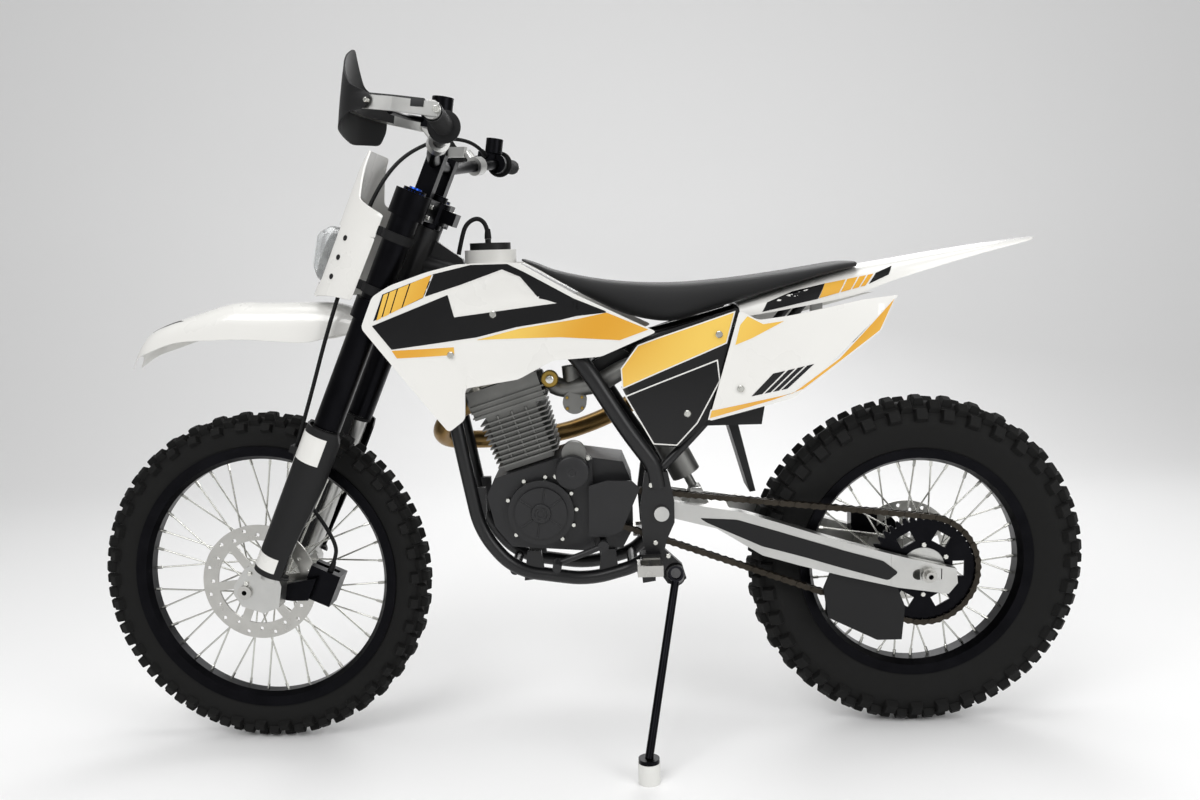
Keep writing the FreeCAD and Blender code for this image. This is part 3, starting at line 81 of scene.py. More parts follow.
# %% [markdown]
# The camera stands a little above the hubs on the rider's left and looks slightly down, with a short
# lens. It comes first, because hoses are judged by what it sees.

# %% Camera
camera_data = bpy.data.cameras.new("camera")
camera_data.lens = 30.65
camera_data.sensor_width = 36.0
camera = bpy.data.objects.new("camera", camera_data)
camera.location = (-0.0423, 2.0759, 0.9029)
camera.rotation_euler = [math.radians(a) for a in (84.612, 1.572, -179.825)]
bpy.context.scene.collection.objects.link(camera)
bpy.context.scene.camera = camera
print("camera at", tuple(camera.location))

# %% [markdown]
# ## Materials
# A colour is written as the sRGB hex value that a person would pick, and shaders work in linear light,
# so one function converts. Another small function adds a node with its settings and links. Positions in
# the object's own metres drive every pattern, so a grain of one millimetre has a scale of 1000.

# %% Colour and node helpers
def linear(hex_colour):
    """sRGB hex to a linear colour with alpha."""
    parts = [int(hex_colour[i:i + 2], 16) / 255 for i in (1, 3, 5)]
    return [p / 12.92 if p <= 0.04045 else ((p + 0.055) / 1.055) ** 2.4 for p in parts] + [1.0]


def add(tree, kind, links=None, **settings):
    """Adds a node. A setting is a property or an input, and a link is a socket for an input."""
    node = tree.nodes.new(kind)
    for name, value in settings.items():
        if hasattr(node, name):
            setattr(node, name, value)
        else:
            node.inputs[name.replace("_", " ")].default_value = value
    for name, socket in (links or {}).items():
        tree.links.new(socket, node.inputs[name])
    return node


def per_mm(size_mm):
    """Texture scale at which one cell of a pattern measures size_mm."""
    return 1000.0 / size_mm


def start_material(name, **shader):
    """A new material with its shader's constants set, and its object coordinates."""
    material = bpy.data.materials.new(name)
    material.use_nodes = True
    tree = material.node_tree
    surface = tree.nodes["Principled BSDF"]
    for key, value in shader.items():
        surface.inputs[key.replace("_", " ")].default_value = value
    place = add(tree, "ShaderNodeTexCoord").outputs["Object"]
    return material, tree, surface, place


def vary(tree, surface, place, colours, size_mm, rough, detail=4.0):
    """Cloudy change of colour and roughness over a surface, as handling and dust leave it."""
    cloud = add(tree, "ShaderNodeTexNoise", {"Vector": place}, Scale=per_mm(size_mm), Detail=detail)
    mix = add(tree, "ShaderNodeMix", {"Factor": cloud.outputs["Fac"]}, data_type="RGBA")
    mix.inputs["A"].default_value = linear(colours[0])
    mix.inputs["B"].default_value = linear(colours[1])
    tree.links.new(mix.outputs["Result"], surface.inputs["Base Color"])
    level = add(tree, "ShaderNodeMapRange", {"Value": cloud.outputs["Fac"]}, To_Min=rough[0], To_Max=rough[1])
    tree.links.new(level.outputs["Result"], surface.inputs["Roughness"])
    return cloud


def relief(tree, surface, height, depth_mm):
    """Raises the surface by a height from 0 to 1, depth_mm high."""
    bump = add(tree, "ShaderNodeBump", {"Height": height}, Strength=0.6, Distance=depth_mm / 1000)
    tree.links.new(bump.outputs["Normal"], surface.inputs["Normal"])


print("node helpers ready")


# %% [markdown]
# The bodywork is injection-moulded polypropylene under a clear printed film. It is glossy with a slight
# orange peel, so the base has a typical plastic IOR, a thin coat and a faint long-wave relief.

# %% Bodywork plastics
def moulded_plastic(name, colours, rough, coat=0.5, peel_mm=9.0, shine=0.5):
    material, tree, surface, place = start_material(name, IOR=1.49, Coat_Weight=coat, Coat_Roughness=0.06,
                                                    Specular_IOR_Level=shine)
    vary(tree, surface, place, colours, 120, rough)
    peel = add(tree, "ShaderNodeTexNoise", {"Vector": place}, Scale=per_mm(peel_mm), Detail=2.0)
    relief(tree, surface, peel.outputs["Fac"], 0.05)
    return material


white_plastic = moulded_plastic("white_polypropylene", ("#DDDCD8", "#E3E2DE"), (0.24, 0.32))
black_film = moulded_plastic("black_printed_film", ("#070708", "#0D0D0F"), (0.2, 0.3), coat=0.1, shine=0.3)
black_plastic = moulded_plastic("black_polypropylene", ("#0B0B0C", "#131314"), (0.4, 0.55), coat=0.0,
                                shine=0.3)


def yellow_fade(name):
    """Printed yellow film whose gold fades and returns along its length."""
    material, tree, surface, place = start_material(name, IOR=1.49, Coat_Weight=0.8, Coat_Roughness=0.05,
                                                    Roughness=0.25)
    bands = add(tree, "ShaderNodeTexWave", {"Vector": place}, Scale=per_mm(700), Distortion=3.0,
                Detail=2.0, bands_direction="DIAGONAL")
    ramp = add(tree, "ShaderNodeValToRGB", {"Fac": bands.outputs["Fac"]})
    ramp.color_ramp.elements[0].color = linear("#D79A1E")
    ramp.color_ramp.elements[1].color = linear("#E9C257")
    tree.links.new(ramp.outputs["Color"], surface.inputs["Base Color"])
    return material


yellow_film = yellow_fade("yellow_printed_film")
print("bodywork plastics ready")

# %% [markdown]
# Painted frame tube is satin black enamel. Castings are sand-textured, and machined aluminium shows fine
# parallel lines, which a noise stretched along one direction gives.

# %% Metals
def enamel(name, colours, rough):
    material, tree, surface, place = start_material(name, IOR=1.5, Coat_Weight=0.15, Coat_Roughness=0.2,
                                                    Specular_IOR_Level=0.35)
    vary(tree, surface, place, colours, 60, rough)
    grit = add(tree, "ShaderNodeTexNoise", {"Vector": place}, Scale=per_mm(2.0), Detail=3.0)
    relief(tree, surface, grit.outputs["Fac"], 0.06)
    return material


def bare_metal(name, colours, rough, grain_mm, stretch=(1, 1, 1), depth_mm=0.05):
    material, tree, surface, place = start_material(name, Metallic=1.0)
    vary(tree, surface, place, colours, 40, rough)
    spread = add(tree, "ShaderNodeMapping", {"Vector": place})
    spread.inputs["Scale"].default_value = stretch
    grain = add(tree, "ShaderNodeTexNoise", {"Vector": spread.outputs["Vector"]}, Scale=per_mm(grain_mm),
                Detail=4.0)
    relief(tree, surface, grain.outputs["Fac"], depth_mm)
    return material


frame_enamel = enamel("black_frame_enamel", ("#09090A", "#101012"), (0.32, 0.45))
engine_enamel = enamel("black_engine_enamel", ("#121213", "#1C1C1E"), (0.42, 0.6))
cast_grey = bare_metal("cast_aluminium_grey", ("#6A6A68", "#8B8B88"), (0.40, 0.58), 1.6, depth_mm=0.12)
rocker_metal = bare_metal("die_cast_aluminium", ("#8E8B83", "#A5A29A"), (0.36, 0.5), 1.4, depth_mm=0.08)
cast_silver = bare_metal("sandblasted_aluminium", ("#B4B4B2", "#CFCFCC"), (0.28, 0.42), 1.2, depth_mm=0.06)
brushed = bare_metal("brushed_aluminium", ("#BDBDBA", "#DADAD7"), (0.20, 0.34), 3.0, (1, 1, 14), 0.03)
steel = bare_metal("stainless_steel", ("#A6A5A1", "#C8C7C3"), (0.22, 0.36), 2.0, (1, 6, 1), 0.03)
zinc = bare_metal("zinc_plated_steel", ("#C4C4BE", "#E0E0DA"), (0.18, 0.30), 2.0, depth_mm=0.02)
anodised = bare_metal("black_anodised_aluminium", ("#0E0E10", "#1B1B1E"), (0.28, 0.4), 1.5, depth_mm=0.03)
chain_steel = bare_metal("oiled_chain_steel", ("#26231F", "#4A453E"), (0.30, 0.5), 4.0, depth_mm=0.05)
bronze_pipe = bare_metal("heat_tinted_steel", ("#7A5B2E", "#9A8257"), (0.25, 0.4), 6.0, depth_mm=0.03)
muffler_metal = bare_metal("painted_muffler", ("#8C8C8A", "#A3A3A1"), (0.35, 0.5), 3.0, depth_mm=0.04)
brass = bare_metal("brass", ("#8E7434", "#B19550"), (0.3, 0.42), 2.0)
blue_metal = bare_metal("blue_anodised_aluminium", ("#1B3E9A", "#2957C4"), (0.22, 0.34), 2.0)
print("metals ready")

# %% [markdown]
# Rubber is matt, nearly black and a little dusty where it bends. The seat is vinyl with a fine pebbled
# grain. The lens is clear polycarbonate with a frosted back.

# %% Rubber, vinyl and lens
def rubber(name, colours, rough, grain_mm, depth_mm):
    material, tree, surface, place = start_material(name, IOR=1.52, Specular_IOR_Level=0.2)
    vary(tree, surface, place, colours, 25, rough, detail=6.0)
    grain = add(tree, "ShaderNodeTexNoise", {"Vector": place}, Scale=per_mm(grain_mm), Detail=5.0)
    relief(tree, surface, grain.outputs["Fac"], depth_mm)
    return material


tyre_rubber = rubber("vulcanised_rubber", ("#090909", "#141413"), (0.6, 0.85), 3.0, 0.2)
soft_rubber = rubber("moulded_rubber", ("#0B0B0C", "#131314"), (0.5, 0.7), 2.0, 0.08)


def seat_vinyl(name):
    material, tree, surface, place = start_material(name, IOR=1.5, Sheen_Weight=0.08,
                                                    Specular_IOR_Level=0.3)
    vary(tree, surface, place, ("#0C0C0D", "#151516"), 80, (0.55, 0.7))
    pebbles = add(tree, "ShaderNodeTexVoronoi", {"Vector": place}, Scale=per_mm(2.2))
    relief(tree, surface, pebbles.outputs["Distance"], 0.25)
    return material


vinyl = seat_vinyl("pebbled_vinyl")


def clear_lens(name):
    material, tree, surface, place = start_material(name, IOR=1.58, Transmission_Weight=0.75, Alpha=0.9)
    vary(tree, surface, place, ("#D8DCDD", "#EEF0F0"), 15, (0.08, 0.2))
    flutes = add(tree, "ShaderNodeTexWave", {"Vector": place}, Scale=per_mm(60), bands_direction="Y")
    relief(tree, surface, flutes.outputs["Fac"], 0.4)
    return material


lens_clear = clear_lens("clear_polycarbonate")
white_cup = moulded_plastic("white_stand_cup", ("#D6D6D2", "#E6E6E2"), (0.35, 0.5), coat=0.2)
print("rubber, vinyl and lens ready")

# %% [markdown]
# ## Finishes on the CAD pieces
# Where the CAD shape is already right, such as frame tubes, clamps and axles, the piece keeps its shape
# and only gets its finish, with a narrow bevel so that its edges catch the light.

# %% Dress the CAD pieces
FINISHES = {
    frame_enamel: ("main_frame", "subframe"),
    engine_enamel: ("crankcase", "engine_covers", "foot_pedals"),
    cast_grey: ("cylinder", "cylinder_head", "carburettor", "rear_shock"),
    bronze_pipe: ("exhaust_header",),
    muffler_metal: ("muffler",),
    white_plastic: ("fuel_tank",),
    black_plastic: ("fuel_cap", "airbox", "chain_guide", "mud_flap", "fork_guards"),
    soft_rubber: ("mask_straps",),
    cast_silver: ("swingarm", "fork_legs", "front_hub", "rear_hub", "hand_guard_bars"),
    steel: ("rear_axle", "front_axle", "front_disc", "rear_disc", "footpegs"),
    zinc: ("front_spokes", "rear_spokes"),
    anodised: ("upper_clamp", "lower_clamp", "fork_outer_tubes", "handlebar", "bar_risers",
               "control_levers", "front_caliper", "rear_caliper", "front_rim", "rear_rim",
               "rear_sprocket", "stand_leg"),
    chain_steel: ("front_sprocket",),
    lens_clear: ("headlight_lens",),
    white_cup: ("stand_foot",),
}
NO_BEVEL = {"front_spokes", "rear_spokes", "headlight_lens"}
CAD_EDGE = 0.0008
for finish, nodes in FINISHES.items():
    for node in nodes:
        piece = frame["nodes"][node]
        piece.data.materials.clear()
        piece.data.materials.append(finish)
        if node not in NO_BEVEL:
            bevel = piece.modifiers.new("edge", "BEVEL")
            bevel.width = CAD_EDGE
            bevel.segments = 2
            bevel.angle_limit = math.radians(40)
            bevel.harden_normals = True
print("dressed", sum(len(n) for n in FINISHES.values()), "CAD pieces")

# %% [markdown]
# ## Mesh helpers
# New pieces are drawn in millimetres in the chassis, fork or wheel, then set in place by the matrices
# above. Each helper returns points and faces, and one function turns them into a piece that rides on
# its body.

# %% Make a piece
def make_piece(name, points, faces, place, finish, body, angle=35, stands_for=()):
    mesh = bpy.data.meshes.new(name)
    mesh.from_pydata([place @ Vector(p) for p in points], [], faces)
    work = bmesh.new()
    work.from_mesh(mesh)
    bmesh.ops.recalc_face_normals(work, faces=work.faces)
    work.to_mesh(mesh)
    work.free()
    mesh.shade_smooth()
    mesh.set_sharp_from_angle(angle=math.radians(angle))
    mesh.materials.append(finish)
    piece = bpy.data.objects.new(name, mesh)
    bpy.context.scene.collection.objects.link(piece)
    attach(piece, body)
    if stands_for:
        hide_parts(*stands_for)
    return piece


def soften(piece, width_mm, segments=2, angle=35):
    bevel = piece.modifiers.new("edge", "BEVEL")
    bevel.width = width_mm / 1000
    bevel.segments = segments
    bevel.angle_limit = math.radians(angle)
    bevel.harden_normals = True
    return piece


def joined(parts):
    """Several (points, faces) shapes as one."""
    points, faces = [], []
    for part_points, part_faces in parts:
        start = len(points)
        points += part_points
        faces += [[start + i for i in face] for face in part_faces]
    return points, faces


def ring_rows(rows, closed=True, caps=False):
    """Faces between rows of points; each row may be a closed ring."""
    count = len(rows[0])
    points = [p for row in rows for p in row]
    faces = []
    for r in range(len(rows) - 1):
        for i in range(count if closed else count - 1):
            j = (i + 1) % count
            faces.append([r * count + i, r * count + j, (r + 1) * count + j, (r + 1) * count + i])
    if caps:
        faces.append(list(range(count))[::-1])
        faces.append([(len(rows) - 1) * count + i for i in range(count)])
    return points, faces


def bar(start, end, radius, sides=12, tip=None):
    """Round or hexagonal bar between two points, chamfered at its far end if tip is given."""
    start, end = Vector(start), Vector(end)
    along = (end - start).normalized()
    side = along.orthogonal().normalized()
    other = along.cross(side)
    stations = [(start, radius), (end, radius)]
    if tip:
        stations = [(start, radius), (end - along * tip, radius), (end, radius - tip)]
    rows = []
    for centre, r in stations:
        angles = [2 * math.pi * i / sides for i in range(sides)]
        rows.append([tuple(centre + side * math.cos(a) * r + other * math.sin(a) * r) for a in angles])
    return ring_rows(rows, caps=True)


def spun(profile, steps=96):
    """Closed profile of (radius, y) points turned about the y axis."""
    rows = []
    for i in range(steps):
        a = 2 * math.pi * i / steps
        rows.append([(r * math.sin(a), y, r * math.cos(a)) for r, y in profile])
    points, faces = ring_rows(rows)
    count, last = len(profile), len(rows) - 1
    for i in range(count):
        j = (i + 1) % count
        faces.append([last * count + i, last * count + j, j, i])
    return points, faces


print("helpers ready")

# %% [markdown]
# ## Tyres
# A knobbly tyre is a smooth carcass with rubber blocks on it. The carcass is a turned profile that ends
# in the rim, and the blocks are set in rows over the crown and down the shoulder, their tops just at the
# CAD tyre's surface, so that the machine still stands on them.

# %% Tyres
KNOB_HEIGHT = 13.0


def carcass(radius, width, rim_radius, rim_width):
    crown = width / 2
    hub_side = radius - crown
    skin = crown - KNOB_HEIGHT
    arc = [math.radians(a) for a in range(90, -91, -10)]
    top = [(hub_side + skin * math.cos(a), skin * math.sin(a)) for a in arc]
    bead = rim_width / 2 - 4
    wall = [(rim_radius - 9, bead), (rim_radius + 1, bead + 1), (rim_radius + 7, bead + 4),
            (hub_side - 10, max(skin - 2, bead + 5))]
    wall = [w for w in wall if w[0] < hub_side]
    return wall + top + [(r, -y) for r, y in reversed(wall)]


def knob(theta, phi, radius, crown, across, along, sunk=3.0):
    """One block: theta round the wheel, phi from the crown down the side, sizes are half widths."""
    hub_side = radius - crown
    points = []
    for depth, taper in ((crown - KNOB_HEIGHT - sunk, 1.18), (crown - 0.6, 0.94)):
        for s, t in ((-1, -1), (1, -1), (1, 1), (-1, 1)):
            y = depth * math.sin(phi) + s * across * taper * math.cos(phi)
            r = hub_side + depth * math.cos(phi) - s * across * taper * math.sin(phi)
            x = t * along * taper
            points.append((x * math.cos(theta) + r * math.sin(theta), y,
                           r * math.cos(theta) - x * math.sin(theta)))
    faces = [[0, 1, 2, 3], [7, 6, 5, 4]] + [[i, i + 4, (i + 1) % 4 + 4, (i + 1) % 4] for i in range(4)]
    return points, faces


def tread(radius, width, pitches, rows):
    """Blocks all round: each row is (offset in pitches, phi in degrees, across, along)."""
    parts = []
    for k in range(pitches):
        for offset, phi, across, along in rows:
            for side in ((1, -1) if phi else (1,)):
                theta = 2 * math.pi * (k + offset) / pitches
                parts.append(knob(theta, side * math.radians(phi), radius, width / 2, across, along))
    return joined(parts)


FRONT_BLOCKS = [(0.0, 14, 8, 9.5), (0.5, 38, 8.5, 10.5), (0.0, 66, 8, 10.5)]
REAR_BLOCKS = [(0.0, 14, 12, 9.5), (0.5, 38, 12, 11), (0.0, 64, 12, 12)]
for label, place, body, size, blocks, pitches in (
        ("front", FRONT_WHEEL, "front_wheel", (350.0, 88.0, 279.0, 50.0), FRONT_BLOCKS, 38),
        ("rear", REAR_WHEEL, "rear_wheel", (350.0, 114.0, 242.5, 66.0), REAR_BLOCKS, 36)):
    points, faces = spun(carcass(*size), 144)
    make_piece(label + "_tyre_carcass", points, faces, place, tyre_rubber, body,
               stands_for=(label + "_tyre",))
    points, faces = tread(size[0], size[1], pitches, blocks)
    blocks_piece = make_piece(label + "_tyre_knobs", points, faces, place, tyre_rubber, body)
    soften(blocks_piece, 1.4, 1)
    print(label, "tyre blocks", len(points) // 8)

# %% [markdown]
# ## Wheel details
# Each spoke ends in a nipple at the rim. The front brake disc has six bolts, and the chain wheel has teeth
# and six bright bolts.

# %% Nipples, bolts and teeth
def spoke_ends(rim_radius, hub_radius, flange_y, count=36):
    """Rim end and direction of every spoke, in the order they are laced."""
    inner = rim_radius - 28.0
    for k in range(count):
        index = k % 4
        side, lean = (1 if index < 2 else -1), (1 if index % 2 == 0 else -1)
        rim_angle = 2 * math.pi * k / count
        hub_angle = rim_angle + lean * math.radians(52)
        foot = Vector((hub_radius * math.sin(hub_angle), side * (flange_y + 4 * lean),
                       hub_radius * math.cos(hub_angle)))
        tip = Vector((inner * math.sin(rim_angle), side * 5, inner * math.cos(rim_angle)))
        yield tip, (foot - tip).normalized()


for label, place, sizes in (("front", FRONT_WHEEL, (279.0, 33, 26)), ("rear", REAR_WHEEL, (242.5, 42, 30))):
    parts = [bar(tip, tip + way * 15, 3.1, 6, tip=0.8) for tip, way in spoke_ends(*sizes)]
    make_piece(label + "_nipples", *joined(parts), place, zinc, label + "_wheel")


def round_bolts(count, radius, y_low, y_high, head, sides=6, turn=0.0):
    parts = []
    for k in range(count):
        a = 2 * math.pi * k / count + turn
        x, z = radius * math.sin(a), radius * math.cos(a)
        parts.append(bar((x, y_low, z), (x, y_high, z), head, sides, tip=0.8))
    return parts


make_piece("front_disc_bolts", *joined(round_bolts(6, 26, 51.8, 56, 4.2)), FRONT_WHEEL, zinc,
           "front_wheel")
make_piece("rear_sprocket_bolts", *joined(round_bolts(6, 52, 72.8, 78, 5.5)), REAR_WHEEL, zinc,
           "rear_wheel")


def tooth_ring(teeth, pitch_radius, y, half, inner):
    """Teeth that stand between the chain's plates."""
    parts = []
    for k in range(teeth):
        a = 2 * math.pi * (k + 0.5) / teeth
        outline = [(-6.6, inner), (6.6, inner), (5.0, pitch_radius - 3.5), (2.2, pitch_radius + 3.4),
                   (-2.2, pitch_radius + 3.4), (-5.0, pitch_radius - 3.5)]
        rows = []
        for side in (-half, half):
            rows.append([(x * math.cos(a) + r * math.sin(a), y + side, r * math.cos(a) - x * math.sin(a))
                         for x, r in outline])
        parts.append(ring_rows(rows, caps=True))
    return joined(parts)


CHAIN_PITCH, CHAIN_Y, REAR_TEETH, FRONT_TEETH = 15.875, 70.5, 44, 14
REAR_PITCH = CHAIN_PITCH / (2 * math.sin(math.pi / REAR_TEETH))
FRONT_PITCH = CHAIN_PITCH / (2 * math.sin(math.pi / FRONT_TEETH))
make_piece("rear_sprocket_teeth", *tooth_ring(REAR_TEETH, REAR_PITCH, CHAIN_Y, 2.2, 99), REAR_WHEEL,
           anodised, "rear_wheel")
print("wheel details made")

# %% [markdown]
# ## Chain
# A roller chain is a string of links one pitch long, inner and outer plates in turn. The links follow the
# belt line round the two sprockets, so the path is cut into equal steps.

# %% Chain links
SHAFT = (622.0, 150.0)


def belt_points(steps):
    """Points at equal steps along the belt round both sprockets."""
    distance = math.hypot(*SHAFT)
    lean = math.atan2(SHAFT[1], SHAFT[0])
    spread = math.acos((REAR_PITCH - FRONT_PITCH) / distance)
    run = math.sqrt(distance ** 2 - (REAR_PITCH - FRONT_PITCH) ** 2)
    rear_arc = 2 * math.pi - 2 * spread
    front_arc = 2 * spread
    total = 2 * run + rear_arc * REAR_PITCH + front_arc * FRONT_PITCH
    found = []
    for i in range(steps):
        s = total * i / steps
        if s < run:
            a = lean + spread
            x = REAR_PITCH * math.cos(a) + s * math.cos(a - math.pi / 2)
            z = REAR_PITCH * math.sin(a) + s * math.sin(a - math.pi / 2)
        elif s < run + front_arc * FRONT_PITCH:
            a = lean + spread - (s - run) / FRONT_PITCH
            x, z = SHAFT[0] + FRONT_PITCH * math.cos(a), SHAFT[1] + FRONT_PITCH * math.sin(a)
        elif s < 2 * run + front_arc * FRONT_PITCH:
            a = lean - spread
            t = s - run - front_arc * FRONT_PITCH
            x = SHAFT[0] + FRONT_PITCH * math.cos(a) + t * math.cos(a - math.pi / 2)
            z = SHAFT[1] + FRONT_PITCH * math.sin(a) + t * math.sin(a - math.pi / 2)
        else:
            a = lean - spread - (s - 2 * run - front_arc * FRONT_PITCH) / REAR_PITCH
            x, z = REAR_PITCH * math.cos(a), REAR_PITCH * math.sin(a)
        found.append(Vector((x, 0, z)))
    return found, total


def link_plate(start, end, y, half=0.9, radius=6.4, waist=4.6):
    along = (end - start).normalized()
    up = Vector((-along.z, 0, along.x))
    outline = []
    for centre, turn in ((end, -90), (start, 90)):
        for a in range(0, 181, 45):
            b = math.radians(turn + a)
            outline.append(centre + along * math.cos(b) * radius + up * math.sin(b) * radius)
        middle = (start + end) / 2
        outline.append(middle + up * (waist if turn < 0 else -waist))
    rows = [[(p.x, y + side, p.z) for p in outline] for side in (-half, half)]
    return ring_rows(rows, caps=True)


_, chain_length = belt_points(1)
LINKS = 2 * round(chain_length / CHAIN_PITCH / 2)
pins, _ = belt_points(LINKS)
parts = []
for i, pin in enumerate(pins):
    ahead = pins[(i + 1) % LINKS]
    reach = 5.0 if i % 2 else 7.0
    parts += [link_plate(pin, ahead, CHAIN_Y + side * reach) for side in (1, -1)]
    parts.append(bar((pin.x, CHAIN_Y - 4.2, pin.z), (pin.x, CHAIN_Y + 4.2, pin.z), 4.9, 10))
    parts.append(bar((pin.x, CHAIN_Y - 8.4, pin.z), (pin.x, CHAIN_Y + 8.4, pin.z), 2.3, 8))
make_piece("chain_links", *joined(parts), CHASSIS, chain_steel, "root", stands_for=("chain",))
print("chain of", LINKS, "links")

# %% [markdown]
# ## Body panels
# The shroud, side panel and number panel are thin mouldings that curve round the machine. Each is drawn
# as its side outline, cut into a fine grid, then bent to the plan curve, as the sheet in the real mould
# is bent. Printed film lies on them as thin pieces a few tenths of a millimetre proud, so every stripe is
# geometry with a clean edge, and a slightly larger white piece under each one leaves the thin pale line
# between the colours.

# %% Panel builder
SKIN = 3.6
PANEL_SKIN = 3.4


def plan_curve(stations):
    """Smooth half width y for a distance x along the machine, through stations of (x, y)."""
    stations = sorted(stations)

    def width(x):
        if x <= stations[0][0]:
            return stations[0][1]
        for i in range(len(stations) - 1):
            (x1, y1), (x2, y2) = stations[i], stations[i + 1]
            if x <= x2:
                before = stations[max(i - 1, 0)]
                after = stations[min(i + 2, len(stations) - 1)]
                s = (x - x1) / (x2 - x1)
                m1 = (y2 - before[1]) / (x2 - before[0]) * (x2 - x1)
                m2 = (after[1] - y1) / (after[0] - x1) * (x2 - x1)
                return ((2 * s ** 3 - 3 * s ** 2 + 1) * y1 + (s ** 3 - 2 * s ** 2 + s) * m1
                        + (3 * s ** 2 - 2 * s ** 3) * y2 + (s ** 3 - s ** 2) * m2)
        return stations[-1][1]
    return width


def rounded(outline, radius, steps=4):
    """The outline with its corners rounded by at most the given radius."""
    result = []
    count = len(outline)
    for i in range(count):
        corner = Vector(outline[i])
        back = Vector(outline[i - 1]) - corner
        ahead = Vector(outline[(i + 1) % count]) - corner
        reach = min(radius, back.length * 0.42, ahead.length * 0.42)
        start, end = corner + back.normalized() * reach, corner + ahead.normalized() * reach
        for k in range(steps + 1):
            s = k / steps
            result.append(tuple(start * (1 - s) ** 2 + corner * 2 * s * (1 - s) + end * s ** 2))
    return result


def grown(outline, amount):
    """The outline moved outwards by an amount."""
    area = sum(a[0] * b[1] - b[0] * a[1] for a, b in zip(outline, outline[1:] + outline[:1]))
    sign = 1 if area > 0 else -1
    result = []
    for i in range(len(outline)):
        here = Vector(outline[i])
        back = (here - Vector(outline[i - 1])).normalized()
        ahead = (Vector(outline[(i + 1) % len(outline)]) - here).normalized()
        normals = [Vector((d.y, -d.x)) * sign for d in (back, ahead)]
        middle = normals[0] + normals[1]
        if middle.length < 0.3:
            result.append(tuple(here + normals[0] * amount))
            continue
        middle.normalize()
        result.append(tuple(here + middle * amount / max(middle.dot(normals[0]), 0.5)))
    return result


def panel(name, outline, bend, thickness, place, finish, body, grid=14.0, lift=0.0, edge=1.0,
          stands_for=(), corner=0.0, sides=(1,)):
    """Sheet from a flat outline (u, v), bent to bend(u, v, lift) and thickened inwards."""
    shape = rounded(outline, corner) if corner else list(outline)
    work = bmesh.new()
    work.faces.new([work.verts.new((u, v, 0)) for u, v in shape])
    for axis, low, high in ((0, min(p[0] for p in shape), max(p[0] for p in shape)),
                            (1, min(p[1] for p in shape), max(p[1] for p in shape))):
        normal = (1, 0, 0) if axis == 0 else (0, 1, 0)
        steps = int((high - low) // grid)
        for k in range(1, steps + 1):
            at = low + (high - low) * k / (steps + 1)
            bmesh.ops.bisect_plane(work, geom=work.verts[:] + work.edges[:] + work.faces[:],
                                   plane_co=Vector(normal) * at, plane_no=normal, dist=1e-4)
    bmesh.ops.triangulate(work, faces=[f for f in work.faces if len(f.verts) > 4])
    work.verts.ensure_lookup_table()
    rim = [e for e in work.edges if len(e.link_faces) == 1]
    flat = [(v.co.x, v.co.y) for v in work.verts]
    top_faces = [[v.index for v in f.verts] for f in work.faces]
    rim_pairs = []
    for e in rim:
        loop = e.link_loops[0]
        rim_pairs.append((loop.vert.index, loop.link_loop_next.vert.index))
    work.free()
    parts = []
    count = len(flat)
    for side in sides:
        points = [bend(u, v, lift) for u, v in flat] + [bend(u, v, lift - thickness) for u, v in flat]
        points = [(x, side * y, z) for x, y, z in points]
        faces = [list(f) for f in top_faces] + [[i + count for i in f][::-1] for f in top_faces]
        faces += [[a, a + count, b + count, b] for a, b in rim_pairs]
        parts.append((points, faces))
    piece = make_piece(name, *joined(parts), place, finish, body, stands_for=stands_for)
    if edge:
        soften(piece, edge, 2, 50)
    return piece


def side_bend(stations, crown=0.0, middle=0.0, reach=100.0):
    """Bend for a panel on the machine's side: x, z flat, y from the plan curve, with a slight crown."""
    width = plan_curve(stations)

    def bend(x, z, lift):
        return (x, width(x) + lift - crown * min(abs(z - middle) / reach, 1.4) ** 2, z)
    return bend


print("panel builder ready")

# %% [markdown]
# The shroud covers the tank's sides. Its recesses make it look moulded, so the bend adds them: two sunk
# scoops, with the top and the lower front corner drawn in.

# %% Tank shrouds
SHROUD_OUTLINE = [(1096, 528), (1072, 586), (1038, 606), (969, 629), (914, 642), (797, 642), (693, 580),
                  (566, 517), (535, 502), (591, 479), (644, 457), (737, 452), (806, 417), (908, 404),
                  (911, 343), (943, 319)]
SHROUD_PLAN = [(530, 113), (640, 115), (800, 117), (900, 132), (980, 148), (1100, 160)]
shroud_width = plan_curve(SHROUD_PLAN)


def inside(outline, u, v):
    """How far a point lies inside an outline, or zero outside it."""
    odd, nearest = False, 1e9
    for (u1, v1), (u2, v2) in zip(outline, outline[1:] + outline[:1]):
        if (v1 > v) != (v2 > v) and u < (u2 - u1) * (v - v1) / (v2 - v1) + u1:
            odd = not odd
        step = Vector((u2 - u1, v2 - v1))
        s = max(0, min(1, (Vector((u - u1, v - v1))).dot(step) / step.length_squared))
        nearest = min(nearest, math.hypot(u1 + step.x * s - u, v1 + step.y * s - v))
    return nearest if odd else 0.0


SCOOP = [(918, 588), (832, 630), (795, 615), (758, 573), (835, 563), (917, 546)]
LOWER_SCOOP = [(913, 489), (748, 489), (594, 474), (750, 450), (777, 422), (815, 413), (905, 408),
               (916, 434)]


def shroud_bend(x, z, lift):
    y = shroud_width(x) + lift
    y -= 4.0 * min(inside(SCOOP, x, z) / 10, 1)
    y -= 3.0 * min(inside(LOWER_SCOOP, x, z) / 12, 1)
    if x > 905 and z < 500:
        y -= 6.0 * min((500 - z) / 180, 1) ** 1.5
    y -= 5.0 * max(0, (z - 600) / 45) ** 2
    return (x, y, z)


panel("tank_shroud_skins", SHROUD_OUTLINE, shroud_bend, SKIN, CHASSIS, white_plastic, "root", grid=9.0,
      corner=9, sides=(1, -1), stands_for=("tank_shrouds",))
print("shrouds made")

